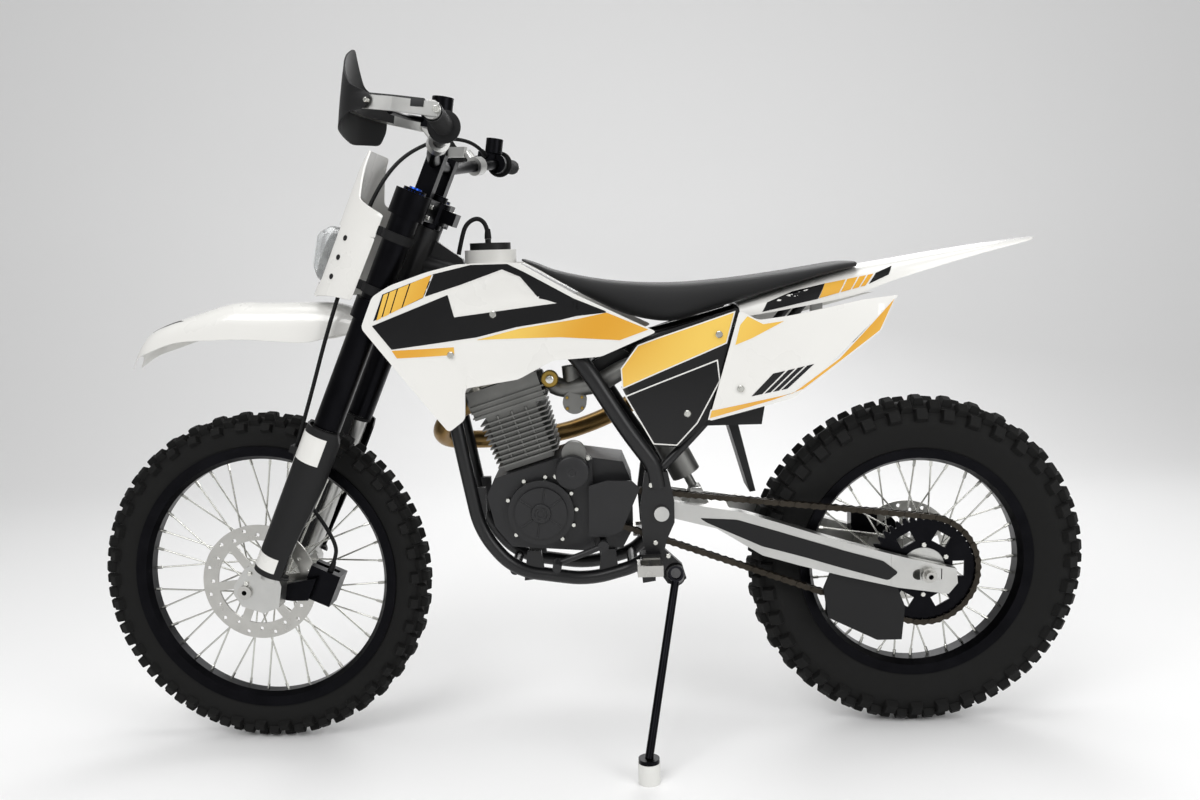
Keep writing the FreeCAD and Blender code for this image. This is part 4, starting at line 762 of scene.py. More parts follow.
# %% [markdown]
# The stripes: gold bars at the nose, a black band above, a black field with a pointed tail, and a gold
# field that sweeps back under it. The places that hold only lettering on such a machine stay plain.

# %% Shroud stripes
FILM = 0.35
BORDER = 2.6


def film(name, outline, bend, finish, body="root", place=None, sides=(1, -1), grid=16.0, border=True,
         level=1, corner=1.5):
    """Printed film with its pale border line under it."""
    place = place or CHASSIS
    if border:
        panel(name + "_border", grown(outline, BORDER), bend, FILM, place, white_plastic, body,
              grid=grid, lift=FILM * level, edge=0, sides=sides, corner=corner)
        level += 1
    return panel(name, outline, bend, FILM, place, finish, body, grid=grid,
                 lift=FILM * level, edge=0, sides=sides, corner=corner)


SHROUD_FIELDS = [
    ("black_front", black_film, [(1075, 531), (932, 585), (922, 542), (694, 566), (631, 542), (689, 537),
                                 (721, 530), (805, 519), (882, 502), (1041, 485)]),
    ("black_band", black_film, [(956, 625), (888, 643), (819, 644), (782, 621), (694, 571), (631, 544),
                                (663, 541), (745, 569), (761, 573), (795, 615), (829, 630), (908, 603),
                                (974, 583)]),
    ("gold_sweep", yellow_film, [(631, 542), (551, 507), (607, 488), (722, 497), (882, 497), (799, 516),
                                 (689, 531)]),
    ("gold_foot", yellow_film, [(1041, 483), (925, 485), (925, 470), (1032, 468)]),
]
for name, finish, outline in SHROUD_FIELDS:
    trimmed = [(x, min(z, 640)) for x, z in outline]
    film("shroud_" + name, trimmed, shroud_bend, finish)


def slanted_bars(low_line, high_line, shares, gap):
    """Bars between two lines: each share of the length is a bar, less a slanted gap."""
    bars, at = [], 0.0
    (a, b), (c, d) = [(Vector(p), Vector(q)) for p, q in (low_line, high_line)]
    for share in shares:
        start, end = at, at + share - gap
        bars.append([tuple(a.lerp(b, start)), tuple(a.lerp(b, end)), tuple(c.lerp(d, end)),
                     tuple(c.lerp(d, start))])
        at += share
    return bars


nose = slanted_bars(((1066, 541), (975, 583)), ((1050, 589), (957, 625)), (0.13, 0.17, 0.25, 0.45), 0.03)
panel("shroud_nose_field", [(1072, 540), (1052, 590), (956, 625), (977, 581)], shroud_bend, FILM, CHASSIS,
      black_film, "root", lift=FILM, edge=0, sides=(1, -1))
for number, outline in enumerate(nose):
    panel("shroud_gold_bar_%d" % number, outline, shroud_bend, FILM, CHASSIS, yellow_film, "root",
          lift=FILM * 2, edge=0, sides=(1, -1))
print("stripes made")

# %% [markdown]
# Side panels sit under the seat, and number panels run back beside the tail. They take the same way.

# %% Side and number panels
SIDE_OUTLINE = [(578, 476), (532, 498), (376, 545), (441, 322), (496, 272), (545, 275), (608, 425)]
SIDE_PLAN = [(360, 116), (440, 112), (540, 102), (620, 100)]
NUMBER_OUTLINE = [(61, 560), (136, 553), (278, 527), (340, 520), (376, 540), (437, 324), (270, 367)]
NUMBER_RIGHT = [(61, 560), (136, 553), (278, 527), (340, 520), (376, 540), (400, 470), (270, 505),
                (150, 536)]
NUMBER_PLAN = [(40, 88), (120, 104), (270, 122), (380, 122), (445, 118)]
side_shape = side_bend(SIDE_PLAN, 2.0, 400, 120)
number_shape = side_bend(NUMBER_PLAN, 3.0, 480, 100)
panel("side_panel_skins", SIDE_OUTLINE, side_shape, PANEL_SKIN, CHASSIS, black_plastic, "root",
      corner=8, sides=(1, -1), stands_for=("side_panels",))
for label, outline, side in (("left", NUMBER_OUTLINE, 1), ("right", NUMBER_RIGHT, -1)):
    panel("number_panel_" + label, outline, number_shape, PANEL_SKIN, CHASSIS, white_plastic, "root",
          corner=8, sides=(side,), stands_for=("number_panels",))
film("side_panel_gold", [(571, 474), (534, 487), (386, 535), (402, 478), (602, 394), (604, 430)],
     side_shape, yellow_film)
film("side_panel_black", [(596, 375), (420, 442), (416, 404), (460, 322), (500, 278), (544, 281)],
     side_shape, black_film)
film("number_panel_gold", [(435, 330), (431, 345), (273, 376), (181, 441), (72, 552), (101, 493),
                           (253, 384), (312, 364)], number_shape, yellow_film, sides=(1,))
film("number_panel_stripe", [(361, 528), (331, 512), (291, 517), (352, 486), (385, 473), (375, 512)],
     number_shape, yellow_film, sides=(1,))
for number, outline in enumerate(slanted_bars(((354, 372), (280, 386)), ((312, 416), (227, 433)),
                                              (0.34, 0.22, 0.22, 0.22), 0.06)):
    panel("number_panel_bar_%d" % number, outline, number_shape, FILM, CHASSIS, black_film, "root",
          lift=FILM, edge=0)
panel_bolts = [bar((x, y - 2, z), (x, y + 4.2, z), 7, 12, tip=1.6) for x, y, z in
               ((478, 109, 340), (415, 114, 494), (375, 121, 388), (850, 122, 545), (932, 138, 470))]
panel_bolts += [bar((p[0], y + 4.2, p[2]), (p[0], y + 5.6, p[2]), 3.6, 6)
                for p, y in (((478, 0, 340), 109), ((415, 0, 494), 114), ((375, 0, 388), 121))]
mirrored_bolts = [([(x, -y, z) for x, y, z in points], faces) for points, faces in panel_bolts]
make_piece("panel_bolts", *joined(panel_bolts + mirrored_bolts), CHASSIS, zinc, "root")
print("side and number panels made")

# %% [markdown]
# ## Fenders and tail
# A fender is a long arch: its cross section is a shallow bow with turned-down edges, and its spine
# follows a curve. A loft through such sections gives the flowing shape of the moulding, and a solid
# thickness on the inside.

# %% Arched fender builder
def smooth_rows(rows, steps):
    """Evenly spaced smooth values through the rows."""
    curves = [plan_curve([(r[0], r[k]) for r in rows]) for k in range(1, len(rows[0]))]
    first, last = min(r[0] for r in rows), max(r[0] for r in rows)
    ats = [first + (last - first) * i / steps for i in range(steps + 1)]
    return [(at,) + tuple(curve(at) for curve in curves) for at in ats]


BOW_POWER = 3.4


def arch(name, rows, steps, place, body, stands_for, across=18):
    """White loft of bows: rows of (x, top, edge, half width). The bow is a superellipse to its edge."""
    stations = smooth_rows(rows, steps)
    outer, inner = [], []
    for x, top, edge, half in stations:
        drop = max(top - edge, 2.0)
        for rows_out, shrink in ((outer, 0.0), (inner, SKIN)):
            ring = []
            for k in range(across + 1):
                a = math.pi * k / across
                c, s = math.cos(a), math.sin(a)
                y = (half - shrink) * math.copysign(abs(c) ** (2 / BOW_POWER), c)
                z = edge + (drop - shrink) * abs(s) ** (2 / BOW_POWER)
                if shrink and k in (0, across):
                    z = edge
                ring.append((x, y, z))
            rows_out.append(ring)
    points, faces = ring_rows(outer, closed=False)
    inner_points, inner_faces = ring_rows(inner, closed=False)
    count = len(points)
    width = across + 1
    last = len(stations) - 1
    faces += [[i + count for i in face][::-1] for face in inner_faces]
    points += inner_points
    for r in range(last):
        for column in (0, across):
            a, b = r * width + column, (r + 1) * width + column
            faces.append([a, b, b + count, a + count])
    for r in (0, last):
        for k in range(across):
            a, b = r * width + k, r * width + k + 1
            faces.append([a, b, b + count, a + count])
    piece = make_piece(name, points, faces, place, white_plastic, body, stands_for=stands_for, angle=50)
    return soften(piece, 1.2, 2, 60)


print("fender builder ready")

# %% [markdown]
# The front fender runs from behind the fork to a narrow tip ahead of the tyre.

# %% Front fender
FRONT_FENDER = [(-24, 599, 566, 58), (60, 599, 553, 66), (127, 592, 508, 73), (193, 566, 483, 74),
                (250, 541, 463, 74), (309, 517, 437, 73), (380, 461, 402, 69), (430, 416, 359, 60),
                (455, 383, 333, 42), (467, 335, 303, 17)]
arch("front_fender_skin", FRONT_FENDER, 60, FORK, "steering", ("front_fender",))
print("front fender made")

# %% [markdown]
# The tail is the same kind of arch, and its stripes lie on the sides of its bow.

# %% Rear fender
REAR_FENDER = [(-224, 665, 662, 22), (-212, 664, 659, 44), (-90, 650, 631, 66), (65, 628, 589, 80),
               (150, 614, 560, 84), (270, 580, 539, 92), (372, 549, 524, 95)]
arch("rear_fender_skin", REAR_FENDER, 50, CHASSIS, "root", ("rear_fender",))
tail_width = plan_curve([(r[0], r[3]) for r in REAR_FENDER])


def tail_bend(x, z, lift):
    """Follows the fender's side, where its bow is nearly upright."""
    top = plan_curve([(r[0], r[1]) for r in REAR_FENDER])(x)
    low = plan_curve([(r[0], r[2]) for r in REAR_FENDER])(x)
    s = max(0.0, min(1.0, (z - low) / max(top - low, 1)))
    return (x, tail_width(x) * (1 - s ** BOW_POWER) ** (1 / BOW_POWER) + lift, z)


TAIL_FIELDS = [
    ("black_wedge", black_film, [(266, 572), (204, 585), (219, 556), (328, 534), (318, 552)]),
    ("black_end", black_film, [(104, 603), (72, 616), (80, 599), (119, 582)]),
]
for name, finish, outline in TAIL_FIELDS:
    panel("tail_" + name, outline, tail_bend, FILM, CHASSIS, finish, "root", lift=FILM * 2, edge=0,
          sides=(1, -1), grid=10)
tail_bars = slanted_bars(((204, 585), (106, 602)), ((217, 557), (122, 580)), (0.45, 0.24, 0.17, 0.14), 0.035)
for number, outline in enumerate(tail_bars):
    panel("tail_gold_bar_%d" % number, outline, tail_bend, FILM, CHASSIS, yellow_film, "root",
          lift=FILM * 2, edge=0, sides=(1, -1), grid=10)
fender_top = plan_curve([(r[0], r[1]) for r in FRONT_FENDER])
fender_edge = plan_curve([(r[0], r[2]) for r in FRONT_FENDER])
fender_half = plan_curve([(r[0], r[3]) for r in FRONT_FENDER])


def fender_bend(u, y, lift):
    """Flat (ahead, sideways) to the top of the front fender's bow."""
    share = min(abs(y) / fender_half(u), 0.98)
    top, low = fender_top(u), fender_edge(u)
    return (u, y, low + max(top - low, 2.0) * (1 - share ** BOW_POWER) ** (1 / BOW_POWER) + lift)


for label, side in (("left", 1), ("right", -1)):
    vent = [(u, side * y) for u, y in ((452, 22), (446, 30), (420, 44), (384, 55), (396, 46), (424, 34))]
    panel("fender_vent_" + label, vent if side > 0 else vent[::-1], fender_bend, FILM, FORK, black_film,
          "steering", lift=FILM * 2, edge=0, grid=8)
print("fenders made")

# %% [markdown]
# ## Seat
# The seat is a long foam core with a slim raised nose and a lip at the back, in one vinyl cover. It is
# lofted from padded sections that are full in the middle and pull in at the edges, then subdivided, so
# the cover stays soft. Its fullness is drawn into the sections, without a cloth simulation.

# %% Seat
SEAT_ROWS = [(134, 627, 617, 80), (160, 627, 611, 86), (220, 619, 597, 90), (280, 611, 580, 93),
             (350, 603, 560, 93), (423, 597, 538, 92.5), (500, 594, 517, 91), (586, 598, 531, 80),
             (660, 608, 565, 69), (737, 626, 610, 57), (770, 640, 630, 51), (800, 650, 645.5, 45)]


def padded_ring(x, top, base, half, steps=20):
    """Section of a firm cushion: a crowned top, full shoulders and sides pulled in at the base."""
    ring = []
    depth = top - base
    for k in range(steps):
        a = 2 * math.pi * k / steps
        c, s = math.cos(a), math.sin(a)
        y = half * math.copysign(abs(c) ** 0.55, c)
        if s < 0:
            z = base + depth * 0.35 * (1 - abs(s) ** 0.5)
            y *= 0.97
        else:
            z = base + depth * 0.35 + depth * 0.65 * abs(s) ** 0.62
        ring.append((x, y, z))
    return ring


rows = [padded_ring(*row) for row in smooth_rows(SEAT_ROWS, 44)]
points, faces = ring_rows(rows, caps=True)
seat_cover = make_piece("seat_cover", points, faces, CHASSIS, vinyl, "root", angle=80,
                        stands_for=("seat",))
smoothing = seat_cover.modifiers.new("foam", "SUBSURF")
smoothing.levels = smoothing.render_levels = 1
print("seat made")

# %% [markdown]
# ## Headlight mask and lens
# The white number plate wraps round the forks on rubber straps. Three black dots on each wing are painted
# shade where its vent openings are. The lamp is set in the lower part.

# %% Mask
MASK_HALF = [(0, 162), (30, 160), (66, 146), (99, 103), (114, 64)]
mask_ahead = plan_curve(MASK_HALF)


def mask_bend(y, t, lift):
    """Flat (y, level) to the wrapped shield, with a soft fold below its top edge."""
    u = mask_ahead(min(abs(y), 113.9)) + lift
    u -= 10 * max(0, (t - 850) / 50) ** 2 * 0.4
    return (u, y, t)


def shield_piece(name, outline, finish, lift, thickness, stands_for=(), edge=1.0, corner=8.0, grid=8.0):
    return panel(name, outline, mask_bend, thickness, FORK, finish, "steering", grid=grid,
                 lift=lift, edge=edge, corner=corner, stands_for=stands_for)


shield_piece("mask_upper", [(-115, 752), (-66, 748), (66, 748), (115, 752), (115, 800), (84, 811),
                            (62, 904), (-62, 904), (-84, 811), (-115, 800)], white_plastic, 0, SKIN,
             stands_for=("headlight_mask",), corner=6)
for side, label in ((1, "left"), (-1, "right")):
    wing = [(side * y, t) for y, t in ((66, 600), (113, 624), (114, 752), (66, 752))]
    shield_piece("mask_wing_" + label, wing if side > 0 else wing[::-1], white_plastic, 0, SKIN,
                 stands_for=("headlight_mask",), corner=2)
shield_piece("mask_chin", [(-66, 599), (66, 599), (66, 624), (-66, 624)], white_plastic, 0, SKIN,
             stands_for=("headlight_mask",), corner=1)
# Black dots painted as the shade seen through the vent openings, in place of real openings.
hole_shade_dots = []
for side in (1, -1):
    for t in (650, 690, 730):
        centre = Vector((mask_ahead(86), side * 86, t))
        away = Vector((0.6, side * 0.8, 0))
        hole_shade_dots.append(bar(centre - away * 1.0, centre + away * 0.9, 5.5, 16))
make_piece("mask_vent_dots", *joined(hole_shade_dots), FORK, black_plastic, "steering")
print("mask made")

# %% [markdown]
# The lamp is a clear shell with a turned dish and a bulb behind it.

# %% Lens
LENS_SIDE = [(133, 630), (133, 741), (168, 741), (189, 716), (175, 651), (158, 630)]
rows = []
for y, shrink in ((-61, 0.80), (-58, 0.94), (-50, 1.0), (-25, 1.0), (0, 1.0), (25, 1.0), (50, 1.0),
                  (58, 0.94), (61, 0.80)):
    centre = (150, 686)
    rows.append([(centre[0] + (u - centre[0]) * shrink, y, centre[1] + (t - centre[1]) * shrink)
                 for u, t in rounded(LENS_SIDE, 9)])
points, faces = ring_rows(rows, caps=True)
make_piece("lamp_cover", points, faces, FORK, lens_clear, "steering", angle=40,
           stands_for=("headlight_lens",))
dish = [(50.0, 30.0), (40.0, 16.0), (26.0, 8.0), (8.0, 4.0), (8.0, 2.0), (28.0, 5.0), (43.0, 13.0),
        (54.0, 30.0)]
points, faces = spun(dish, 40)
points = [(138 + y * 0.9, x, 684 + z * 0.92) for x, y, z in points]
make_piece("lamp_dish", points, faces, FORK, brushed, "steering")
make_piece("lamp_bulb", *bar((142, 0, 684), (164, 0, 684), 7, 16, tip=3), FORK, white_cup, "steering")
print("lamp made")

# %% [markdown]
# ## Hand guards, grips and levers
# Each guard is an alloy bar with a black plastic cover along it and a curved shield in front. The grip is
# soft rubber with raised ribs and a flange.

# %% Hand guards
BAR_END = Vector((-39.0, 405.0, 997.0))
GUARD_TURN = Matrix.Translation(BAR_END) @ Matrix.Rotation(math.radians(15), 4, "Y")
MIRROR = Matrix.Scale(-1, 4, (0, 1, 0))
SHIELD_CURVE = [(96, 22), (134, 12), (160, -26), (154, -100), (124, -172)]
SHIELD_SHAPE = [(-172, -22), (-158, -50), (-90, -60), (-20, -42), (20, -13), (22, 14), (-30, 76),
                (-64, 94), (-110, 39), (-168, 23)]


def along_curve(points, y):
    """Ahead for a place y on a plan curve that is drawn from its outer end inwards."""
    return plan_curve([(py, px) for px, py in points])(y)


def guard_bend(y, z, lift):
    return (along_curve(SHIELD_CURVE, y) + lift - 0.0012 * (z - 10) ** 2 * 0.35, y, z)


for label, way in (("left", Matrix()), ("right", MIRROR)):
    place = FORK @ way @ GUARD_TURN
    panel("hand_shield_" + label, SHIELD_SHAPE, guard_bend, 2.8, place, black_plastic, "steering",
          grid=9, corner=10, stands_for=("hand_shields",))
    cover = [(Vector((x, y, 0)), n) for (x, y), n in
             (((10, 19), 0), ((60, 17), 1), ((123, 6), 2), ((149, -30), 3), ((143, -96), 4),
              ((114, -164), 5))]
    rows = []
    for centre, n in cover:
        before, after = cover[max(n - 1, 0)][0], cover[min(n + 1, 5)][0]
        along = (after - before).normalized()
        out = Vector((-along.y, along.x, 0))
        thick = (2.0, 3.0, 4.0, 4.0, 4.0, 2.0)[n]
        foot = (2, -2, -8, -10, -10, -8)[n]
        rows.append([tuple(centre + out * o + Vector((0, 0, h))) for o, h in
                     ((-8.4, foot), (-8.4, 13), (-6, 15.5), (thick - 1, 15.5), (thick, 13), (thick, foot),
                      (0.4, foot), (0.4, 12.4), (-7.4, 12.4), (-7.4, foot))])
    points, faces = ring_rows(rows, caps=True)
    trim = make_piece("guard_cover_" + label, points, faces, place, black_plastic, "steering", angle=40)
    soften(trim, 1.5)
    bolts = [bar((-10, 14, 1), (-10, 21.5, 1), 6, 6, tip=1),
             bar((149, -58, 2), (158.5, -60, 2), 4.5, 10, tip=1),
             bar((100, 20, 2), (103, 27, 2), 4, 10, tip=1)]
    make_piece("guard_bolts_" + label, *joined(bolts), place, zinc, "steering")
print("hand guards made")

# %% [markdown]
# A grip is one turned profile, with a flange at its inner end and eighteen raised ribs.

# %% Grips
grip_start = Vector((-32.0, 250.0, 985.0))
grip_way = (BAR_END - grip_start).normalized()


def turned(profile, start, way, sides=32):
    """Profile of (distance, radius) turned about a line."""
    side = way.orthogonal().normalized()
    other = way.cross(side)
    rows = []
    for distance, radius in profile:
        ring = []
        for i in range(sides):
            a = 2 * math.pi * i / sides
            ring.append(tuple(start + way * distance + (side * math.cos(a) + other * math.sin(a)) * radius))
        rows.append(ring)
    return ring_rows(rows, caps=True)


profile = [(30.2, 14), (30.2, 28), (31.5, 28.8), (34.5, 28.8), (36, 27), (38, 19), (42, 16.6)]
for rib in range(18):
    at = 44 + rib * 5.9
    profile += [(at, 15.4), (at + 1.2, 16.8), (at + 3.6, 16.8), (at + 4.8, 15.4)]
profile += [(152, 16.9), (157.6, 16.9), (157.8, 14)]
for label, way in (("left", Matrix()), ("right", MIRROR)):
    make_piece("grip_" + label, *turned(profile, grip_start, grip_way), FORK @ way, soft_rubber,
               "steering", stands_for=("grips",))
print("grips made")

# %% [markdown]
# ## Fork details
# The guards on the sliders are black with a white band, the clamps have bright bolts, and the cap of each
# tube carries a blue adjuster.

# %% Fork trim
TUBE_U, TUBE_Y = 22.0, 107.0


def tube_band(radius, low, high, start, end, side, thickness=0.8, steps=14):
    """Strip round the outside of a fork tube between two angles, measured from ahead."""
    rows = []
    for k in range(steps + 1):
        a = math.radians(start + (end - start) * k / steps)
        c, s = math.cos(a), math.sin(a) * side
        rows.append([(TUBE_U + r * c, side * TUBE_Y + r * s, t) for r, t in
                     ((radius, low), (radius + thickness, low), (radius + thickness, high), (radius, high))])
    return ring_rows(rows, caps=True)


whites = []
for side in (1, -1):
    whites.append(tube_band(38.05, 300, 356, -4, 118, side))
    whites.append(tube_band(38.05, 66, 96, -2, 108, side))
    whites.append(tube_band(38.05, 96, 300, -2, 10, side))
make_piece("guard_white_bands", *joined(whites), FORK, white_plastic, "steering")
bolts = []
for side in (1, -1):
    for t in (612, 630, 826, 848):
        u = -14 if t < 700 else -12
        bolts.append(bar((u, side * 92, t), (u - 6, side * 92, t), 4.5, 6, tip=0.8))
    for t in (18, 40):
        bolts.append(bar((60, side * 123.5, t), (60, side * 128, t), 5, 6, tip=0.8))
make_piece("fork_bolts", *joined(bolts), FORK, zinc, "steering")
caps = []
for side in (1, -1):
    caps.append(turned([(0, 22), (2.5, 22), (4, 20), (4, 13), (9, 12), (9, 5)],
                       Vector((TUBE_U, side * TUBE_Y, 862.2)), Vector((0, 0, 1)), 24))
make_piece("fork_adjusters", *joined(caps), FORK, blue_metal, "steering")
rows = [turned([(0, 24.2), (1, 26.8), (7, 26.8), (9, 25)], Vector((TUBE_U, side * TUBE_Y, 362)),
               Vector((0, 0, 1)), 32) for side in (1, -1)]
make_piece("fork_wipers", *joined(rows), FORK, soft_rubber, "steering")
print("fork trim made")

# %% [markdown]
# ## Engine dressing
# The covers get raised rings and rims of bolts, which sit on the CAD blocks a few millimetres proud.

# %% Engine covers
CYLINDER_FOOT = Vector((795, 0, 236))
CYLINDER_TURN = Matrix.Translation(CYLINDER_FOOT) @ Matrix.Rotation(math.radians(17), 4, "Y")
LEFT_COVER = (773, 143)
STARTER = (708, 226)


def disc_on_side(centre, profile, sides=48):
    """Turned cover on the engine's left: profile of (distance out, radius)."""
    return turned(profile, Vector((centre[0], 0, centre[1])), Vector((0, 1, 0)), sides)


cover_parts = [disc_on_side(LEFT_COVER, [(88, 20), (98.5, 20), (100, 18.5), (100, 13), (98, 12), (98, 7),
                                         (99.5, 6), (99.5, 2)])]
for a in (35, 100, 145, 215, 280, 325):
    c, s = math.cos(math.radians(a)), math.sin(math.radians(a))
    cover_parts.append(bar((LEFT_COVER[0] + 21 * c, 95.5, LEFT_COVER[1] + 21 * s),
                           (LEFT_COVER[0] + 50 * c, 95.5, LEFT_COVER[1] + 50 * s), 2.2, 8))
cover_parts.append(disc_on_side(STARTER, [(100, 33.8), (104, 33), (106, 30), (106.5, 8), (105, 6)]))
soften(make_piece("engine_cover_relief", *joined(cover_parts), CHASSIS, engine_enamel, "root"), 0.8)
starter_body = turned([(66, 22), (66, 24), (88, 24), (88, 20)], Vector((704, 0, 262)), Vector((0, 1, 0)), 32)
make_piece("starter_barrel", *starter_body, CHASSIS, cast_grey, "root")

cover_bolts = []
for a in (20, 62, 98, 150, 178, 205, 235, 262, 290, 318):
    c, s = math.cos(math.radians(a)), math.sin(math.radians(a))
    x, z = LEFT_COVER[0] + 71 * c, LEFT_COVER[1] + 71 * s
    if z > 78 and not (x < 745 and z > 180):
        cover_bolts.append(bar((x, 72, z), (x, 79, z), 5, 6, tip=1))
for x, z in ((742, 214), (676, 250), (552, 196), (545, 78), (520, 50)):
    cover_bolts.append(bar((x, 97 if x < 600 else 72, z), (x, 102 if x < 600 else 80, z), 5.5, 6, tip=1))
make_piece("engine_bolts", *joined(cover_bolts), CHASSIS, zinc, "root")

# %% [markdown]
# The head carries a smooth cast rocker cover with dark screws in round bosses, and the fuel tap beside it
# is brass with a bright knob.

# %% Rocker cover and fuel tap
def on_cylinder(x, y, z):
    return tuple(CYLINDER_TURN @ Vector((x, y, z)))


rows = []
for y, shrink in ((-57, 10), (-52, 3), (-44, 0), (44, 0), (52, 3), (57, 10)):
    outline = [(-58 + shrink, 178), (58 - shrink, 178), (50 - shrink, 203 - shrink * 0.6),
               (-46 + shrink, 207 - shrink * 0.6)]
    rows.append([on_cylinder(x, y, z) for x, z in rounded(outline, 10)])
make_piece("rocker_cover", *ring_rows(rows, caps=True), CHASSIS, rocker_metal, "root", angle=50)
bosses, screws = [], []
for x in (-56, 50):
    for y in (-56, 56):
        bosses.append(bar(on_cylinder(x, y, 176), on_cylinder(x, y, 187), 9.5, 24, tip=1.5))
        screws.append(bar(on_cylinder(x, y, 187), on_cylinder(x, y, 191), 5.5, 6, tip=1))
make_piece("rocker_bosses", *joined(bosses), CHASSIS, rocker_metal, "root")
make_piece("rocker_screws", *joined(screws), CHASSIS, black_plastic, "root")
ribs = []
for level in range(5):
    for x in (-30, 0, 30):
        ribs.append(bar(on_cylinder(x, 51, 18 + level * 20), on_cylinder(x, 51, 34 + level * 20), 3.2, 8))
make_piece("fin_ribs", *joined(ribs), CHASSIS, cast_grey, "root")
tap = [turned([(52, 15), (53, 17.5), (64, 17.5), (66, 15.5), (66, 9)], Vector((748, 0, 410)),
              Vector((0, 1, 0)), 24)]
make_piece("fuel_tap", *joined(tap), CHASSIS, brass, "root")
knob_shape = turned([(66, 8), (72, 8), (73, 6.5), (73, 2)], Vector((748, 0, 410)), Vector((0, 1, 0)), 20)
make_piece("fuel_tap_knob", *knob_shape, CHASSIS, zinc, "root")
bowl_bolts = [bar((700 + x, 52, 360 + z), (700 + x, 56, 360 + z), 3.4, 6, tip=0.6)
              for x, z in ((-15, 10), (15, 10), (-15, -12), (15, -12))]
make_piece("bowl_screws", *joined(bowl_bolts), CHASSIS, brass, "root")
print("engine dressed")

# %% [markdown]
# ## Swingarm and foot details
# A long dark guard lies along each arm, a little proud of the casting.

# %% Swingarm inset
ARM_INSET = [(455, 122), (380, 118), (230, 72), (90, 30), (60, 6), (80, -10), (240, 38), (330, 62),
             (440, 112)]


def arm_bend(x, z, lift):
    y = plan_curve([(-70, 106), (170, 106), (300, 92), (500, 80)])(x)
    return (x, y + lift, z)


panel("swingarm_inset", ARM_INSET, arm_bend, 0.8, CHASSIS, black_plastic, "root", lift=0.9,
      edge=0.3, corner=6, sides=(1, -1))
print("inset made")

# %% [markdown]
# ## Hoses
# The brake hose runs from the lever down the fork to the caliper, and the breather hose rises from the
# fuel cap and loops down to the frame's gusset. Each is one smooth line through its route's points.

# %% Hoses
def hose(name, points, radius_mm):
    """Round tube along one smooth curve through its points."""
    curve = bpy.data.curves.new(name, "CURVE")
    curve.dimensions = "3D"
    spline = curve.splines.new("NURBS")
    spline.points.add(len(points) - 1)
    for target, point in zip(spline.points, points):
        target.co = (*point, 1)
    spline.order_u = 3
    spline.use_endpoint_u = True
    spline.resolution_u = 12
    curve.bevel_depth = radius_mm / 1000
    curve.bevel_resolution = 5
    curve.use_fill_caps = True
    curve.materials.append(soft_rubber)
    piece = bpy.data.objects.new(name, curve)
    bpy.context.scene.collection.objects.link(piece)
    return piece


def curve_length(piece):
    """Length of the piece's centre line in metres."""
    bare = piece.data.copy()
    bare.bevel_depth = 0
    ghost = bpy.data.objects.new("ghost", bare)
    line = bpy.data.meshes.new_from_object(ghost)
    bpy.data.objects.remove(ghost)
    return sum((line.vertices[e.vertices[0]].co - line.vertices[e.vertices[1]].co).length
               for e in line.edges)


BRAKE_ROUTE = [(-4, -243, 992), (12, -196, 1008), (66, -140, 992), (100, -80, 946), (110, -12, 900),
               (108, 52, 838), (105, 76, 760), (101, 82, 680), (96, 87, 600), (89, 92, 520),
               (79, 97, 440), (71, 102, 365), (67, 94, 290), (58, 64, 236), (14, 56, 196),
               (-34, 60, 168), (-70, 62, 138), (-76, 62, 112), (-76, 62, 86.3)]
BREATHER_ROUTE = [(866, 0, 690.3), (866, 0, 716), (884, 2, 734), (908, 5, 722), (918, 7, 694),
                  (926, 4, 660.5)]
BRAKE_RADIUS, BREATHER_RADIUS = 4.0, 4.5
HOSES = (("brake_hose_line", BRAKE_ROUTE, FORK, BRAKE_RADIUS, "steering", "brake_hose"),
         ("breather_hose_line", BREATHER_ROUTE, CHASSIS, BREATHER_RADIUS, "root", "breather_hose"))
for name, route, place, radius, body, node in HOSES:
    points = [place @ Vector(p) for p in route]
    piece = hose(name, points, radius)
    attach(piece, body)
    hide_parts(node)
    length = curve_length(piece)
    tuple(points[0])
    print(name, "length", round(length, 3))

# %% [markdown]
# A tapered rubber sleeve takes the strain where each hose leaves its fitting.

# %% Strain reliefs
for name, place, body, (a, b), radius in (
        ("brake_hose_sleeve_top", FORK, "steering", BRAKE_ROUTE[:2], BRAKE_RADIUS),
        ("brake_hose_sleeve_foot", FORK, "steering", BRAKE_ROUTE[:-3:-1], BRAKE_RADIUS),
        ("breather_sleeve", CHASSIS, "root", BREATHER_ROUTE[:2], BREATHER_RADIUS)):
    way = (Vector(b) - Vector(a)).normalized()
    sleeve = [(0, radius + 2.6), (8, radius + 2.2), (16, radius + 1.2), (20, radius + 0.4)]
    make_piece(name, *turned(sleeve, Vector(a), way, 24), place, soft_rubber, body)
print("sleeves made")

# %% [markdown]
# ## Floor and light
# A plain pale floor takes the shadow. Its colour is what the camera sees, and the lamps stay at a plain
# level, so colours come out as they are written.

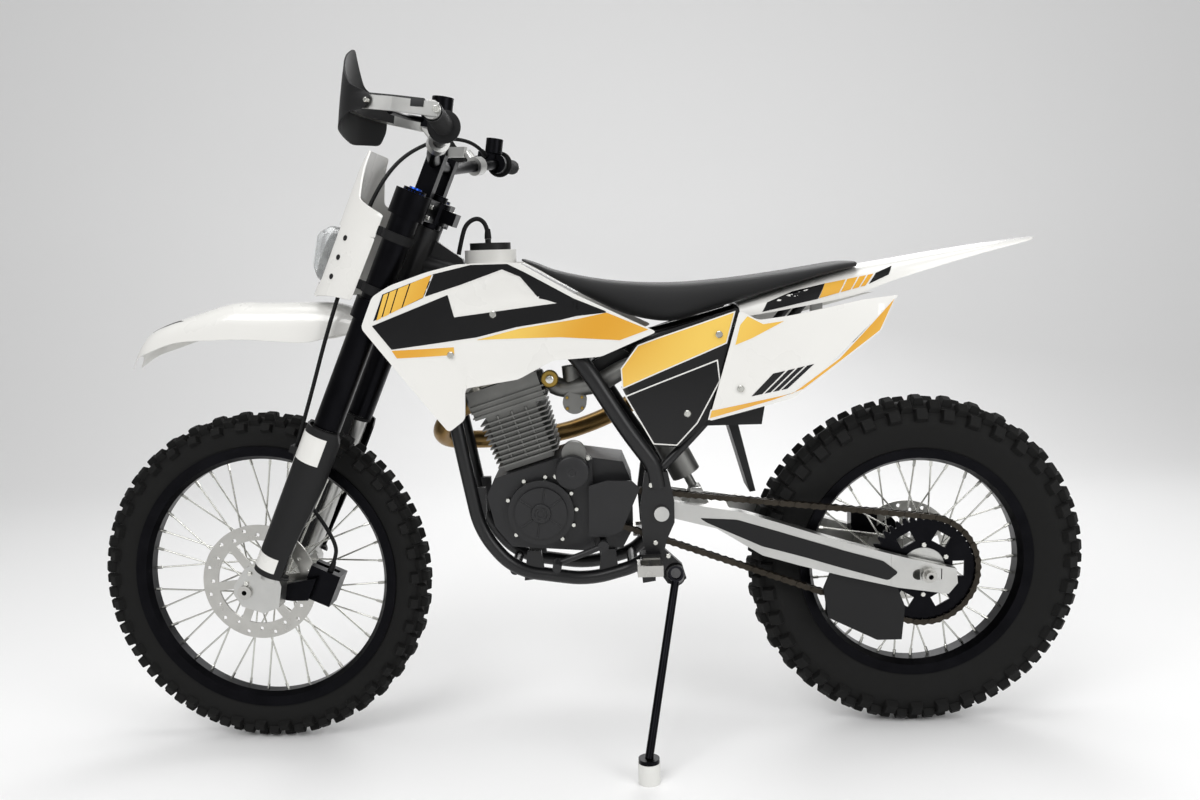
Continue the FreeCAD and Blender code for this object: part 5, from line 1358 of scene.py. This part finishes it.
# %% Floor and lights
def backdrop_material():
    material = bpy.data.materials.new("pale_floor")
    material.use_nodes = True
    surface = material.node_tree.nodes["Principled BSDF"]
    surface.inputs["Base Color"].default_value = linear("#F2F2F2")
    surface.inputs["Roughness"].default_value = 0.9
    return material


floor_mesh = bpy.data.meshes.new("floor")
sweep = [(y, 0.0) for y in (6.0, 0.0, -3.0)]
sweep += [(-3.0 - 1.5 * math.sin(math.radians(a)), 1.5 - 1.5 * math.cos(math.radians(a)))
          for a in range(10, 91, 10)]
sweep += [(-4.5, 6.0)]
rows = [[(-9.0, y, z), (9.0, y, z)] for y, z in sweep]
points, faces = ring_rows(rows, closed=False)
floor_mesh.from_pydata(points, [], faces)
floor_mesh.shade_smooth()
floor = bpy.data.objects.new("studio_floor", floor_mesh)
floor_mesh.materials.append(backdrop_material())
bpy.context.scene.collection.objects.link(floor)


def lamp(name, at, target, size, power):
    data = bpy.data.lights.new(name, "AREA")
    data.shape = "RECTANGLE"
    data.size, data.size_y = size
    data.energy = power
    light = bpy.data.objects.new(name, data)
    light.location = at
    light.rotation_euler = (Vector(target) - Vector(at)).to_track_quat("-Z", "Y").to_euler()
    bpy.context.scene.collection.objects.link(light)


lamp("key", (1.6, 3.2, 3.4), (0, 0, 0.6), (2.6, 2.0), 85)
lamp("fill", (-2.6, 2.6, 1.9), (0, 0, 0.6), (2.0, 2.0), 45)
lamp("far", (-0.8, -3.4, 2.6), (0, 0, 0.6), (2.4, 2.0), 45)
lamp("top", (0, 0, 4.2), (0, 0, 0), (3.5, 2.2), 60)
world = bpy.data.worlds.new("studio")
world.use_nodes = True
background = world.node_tree.nodes["Background"]
background.inputs["Color"].default_value = (1, 1, 1, 1)
rays = add(world.node_tree, "ShaderNodeLightPath")
seen = add(world.node_tree, "ShaderNodeMath", {0: rays.outputs["Is Camera Ray"]}, operation="MULTIPLY_ADD")
seen.inputs[1].default_value = 0.52
seen.inputs[2].default_value = 0.42
world.node_tree.links.new(seen.outputs["Value"], background.inputs["Strength"])
bpy.context.scene.world = world
bpy.context.scene.view_settings.view_transform = "Standard"
print("floor and lamps placed")
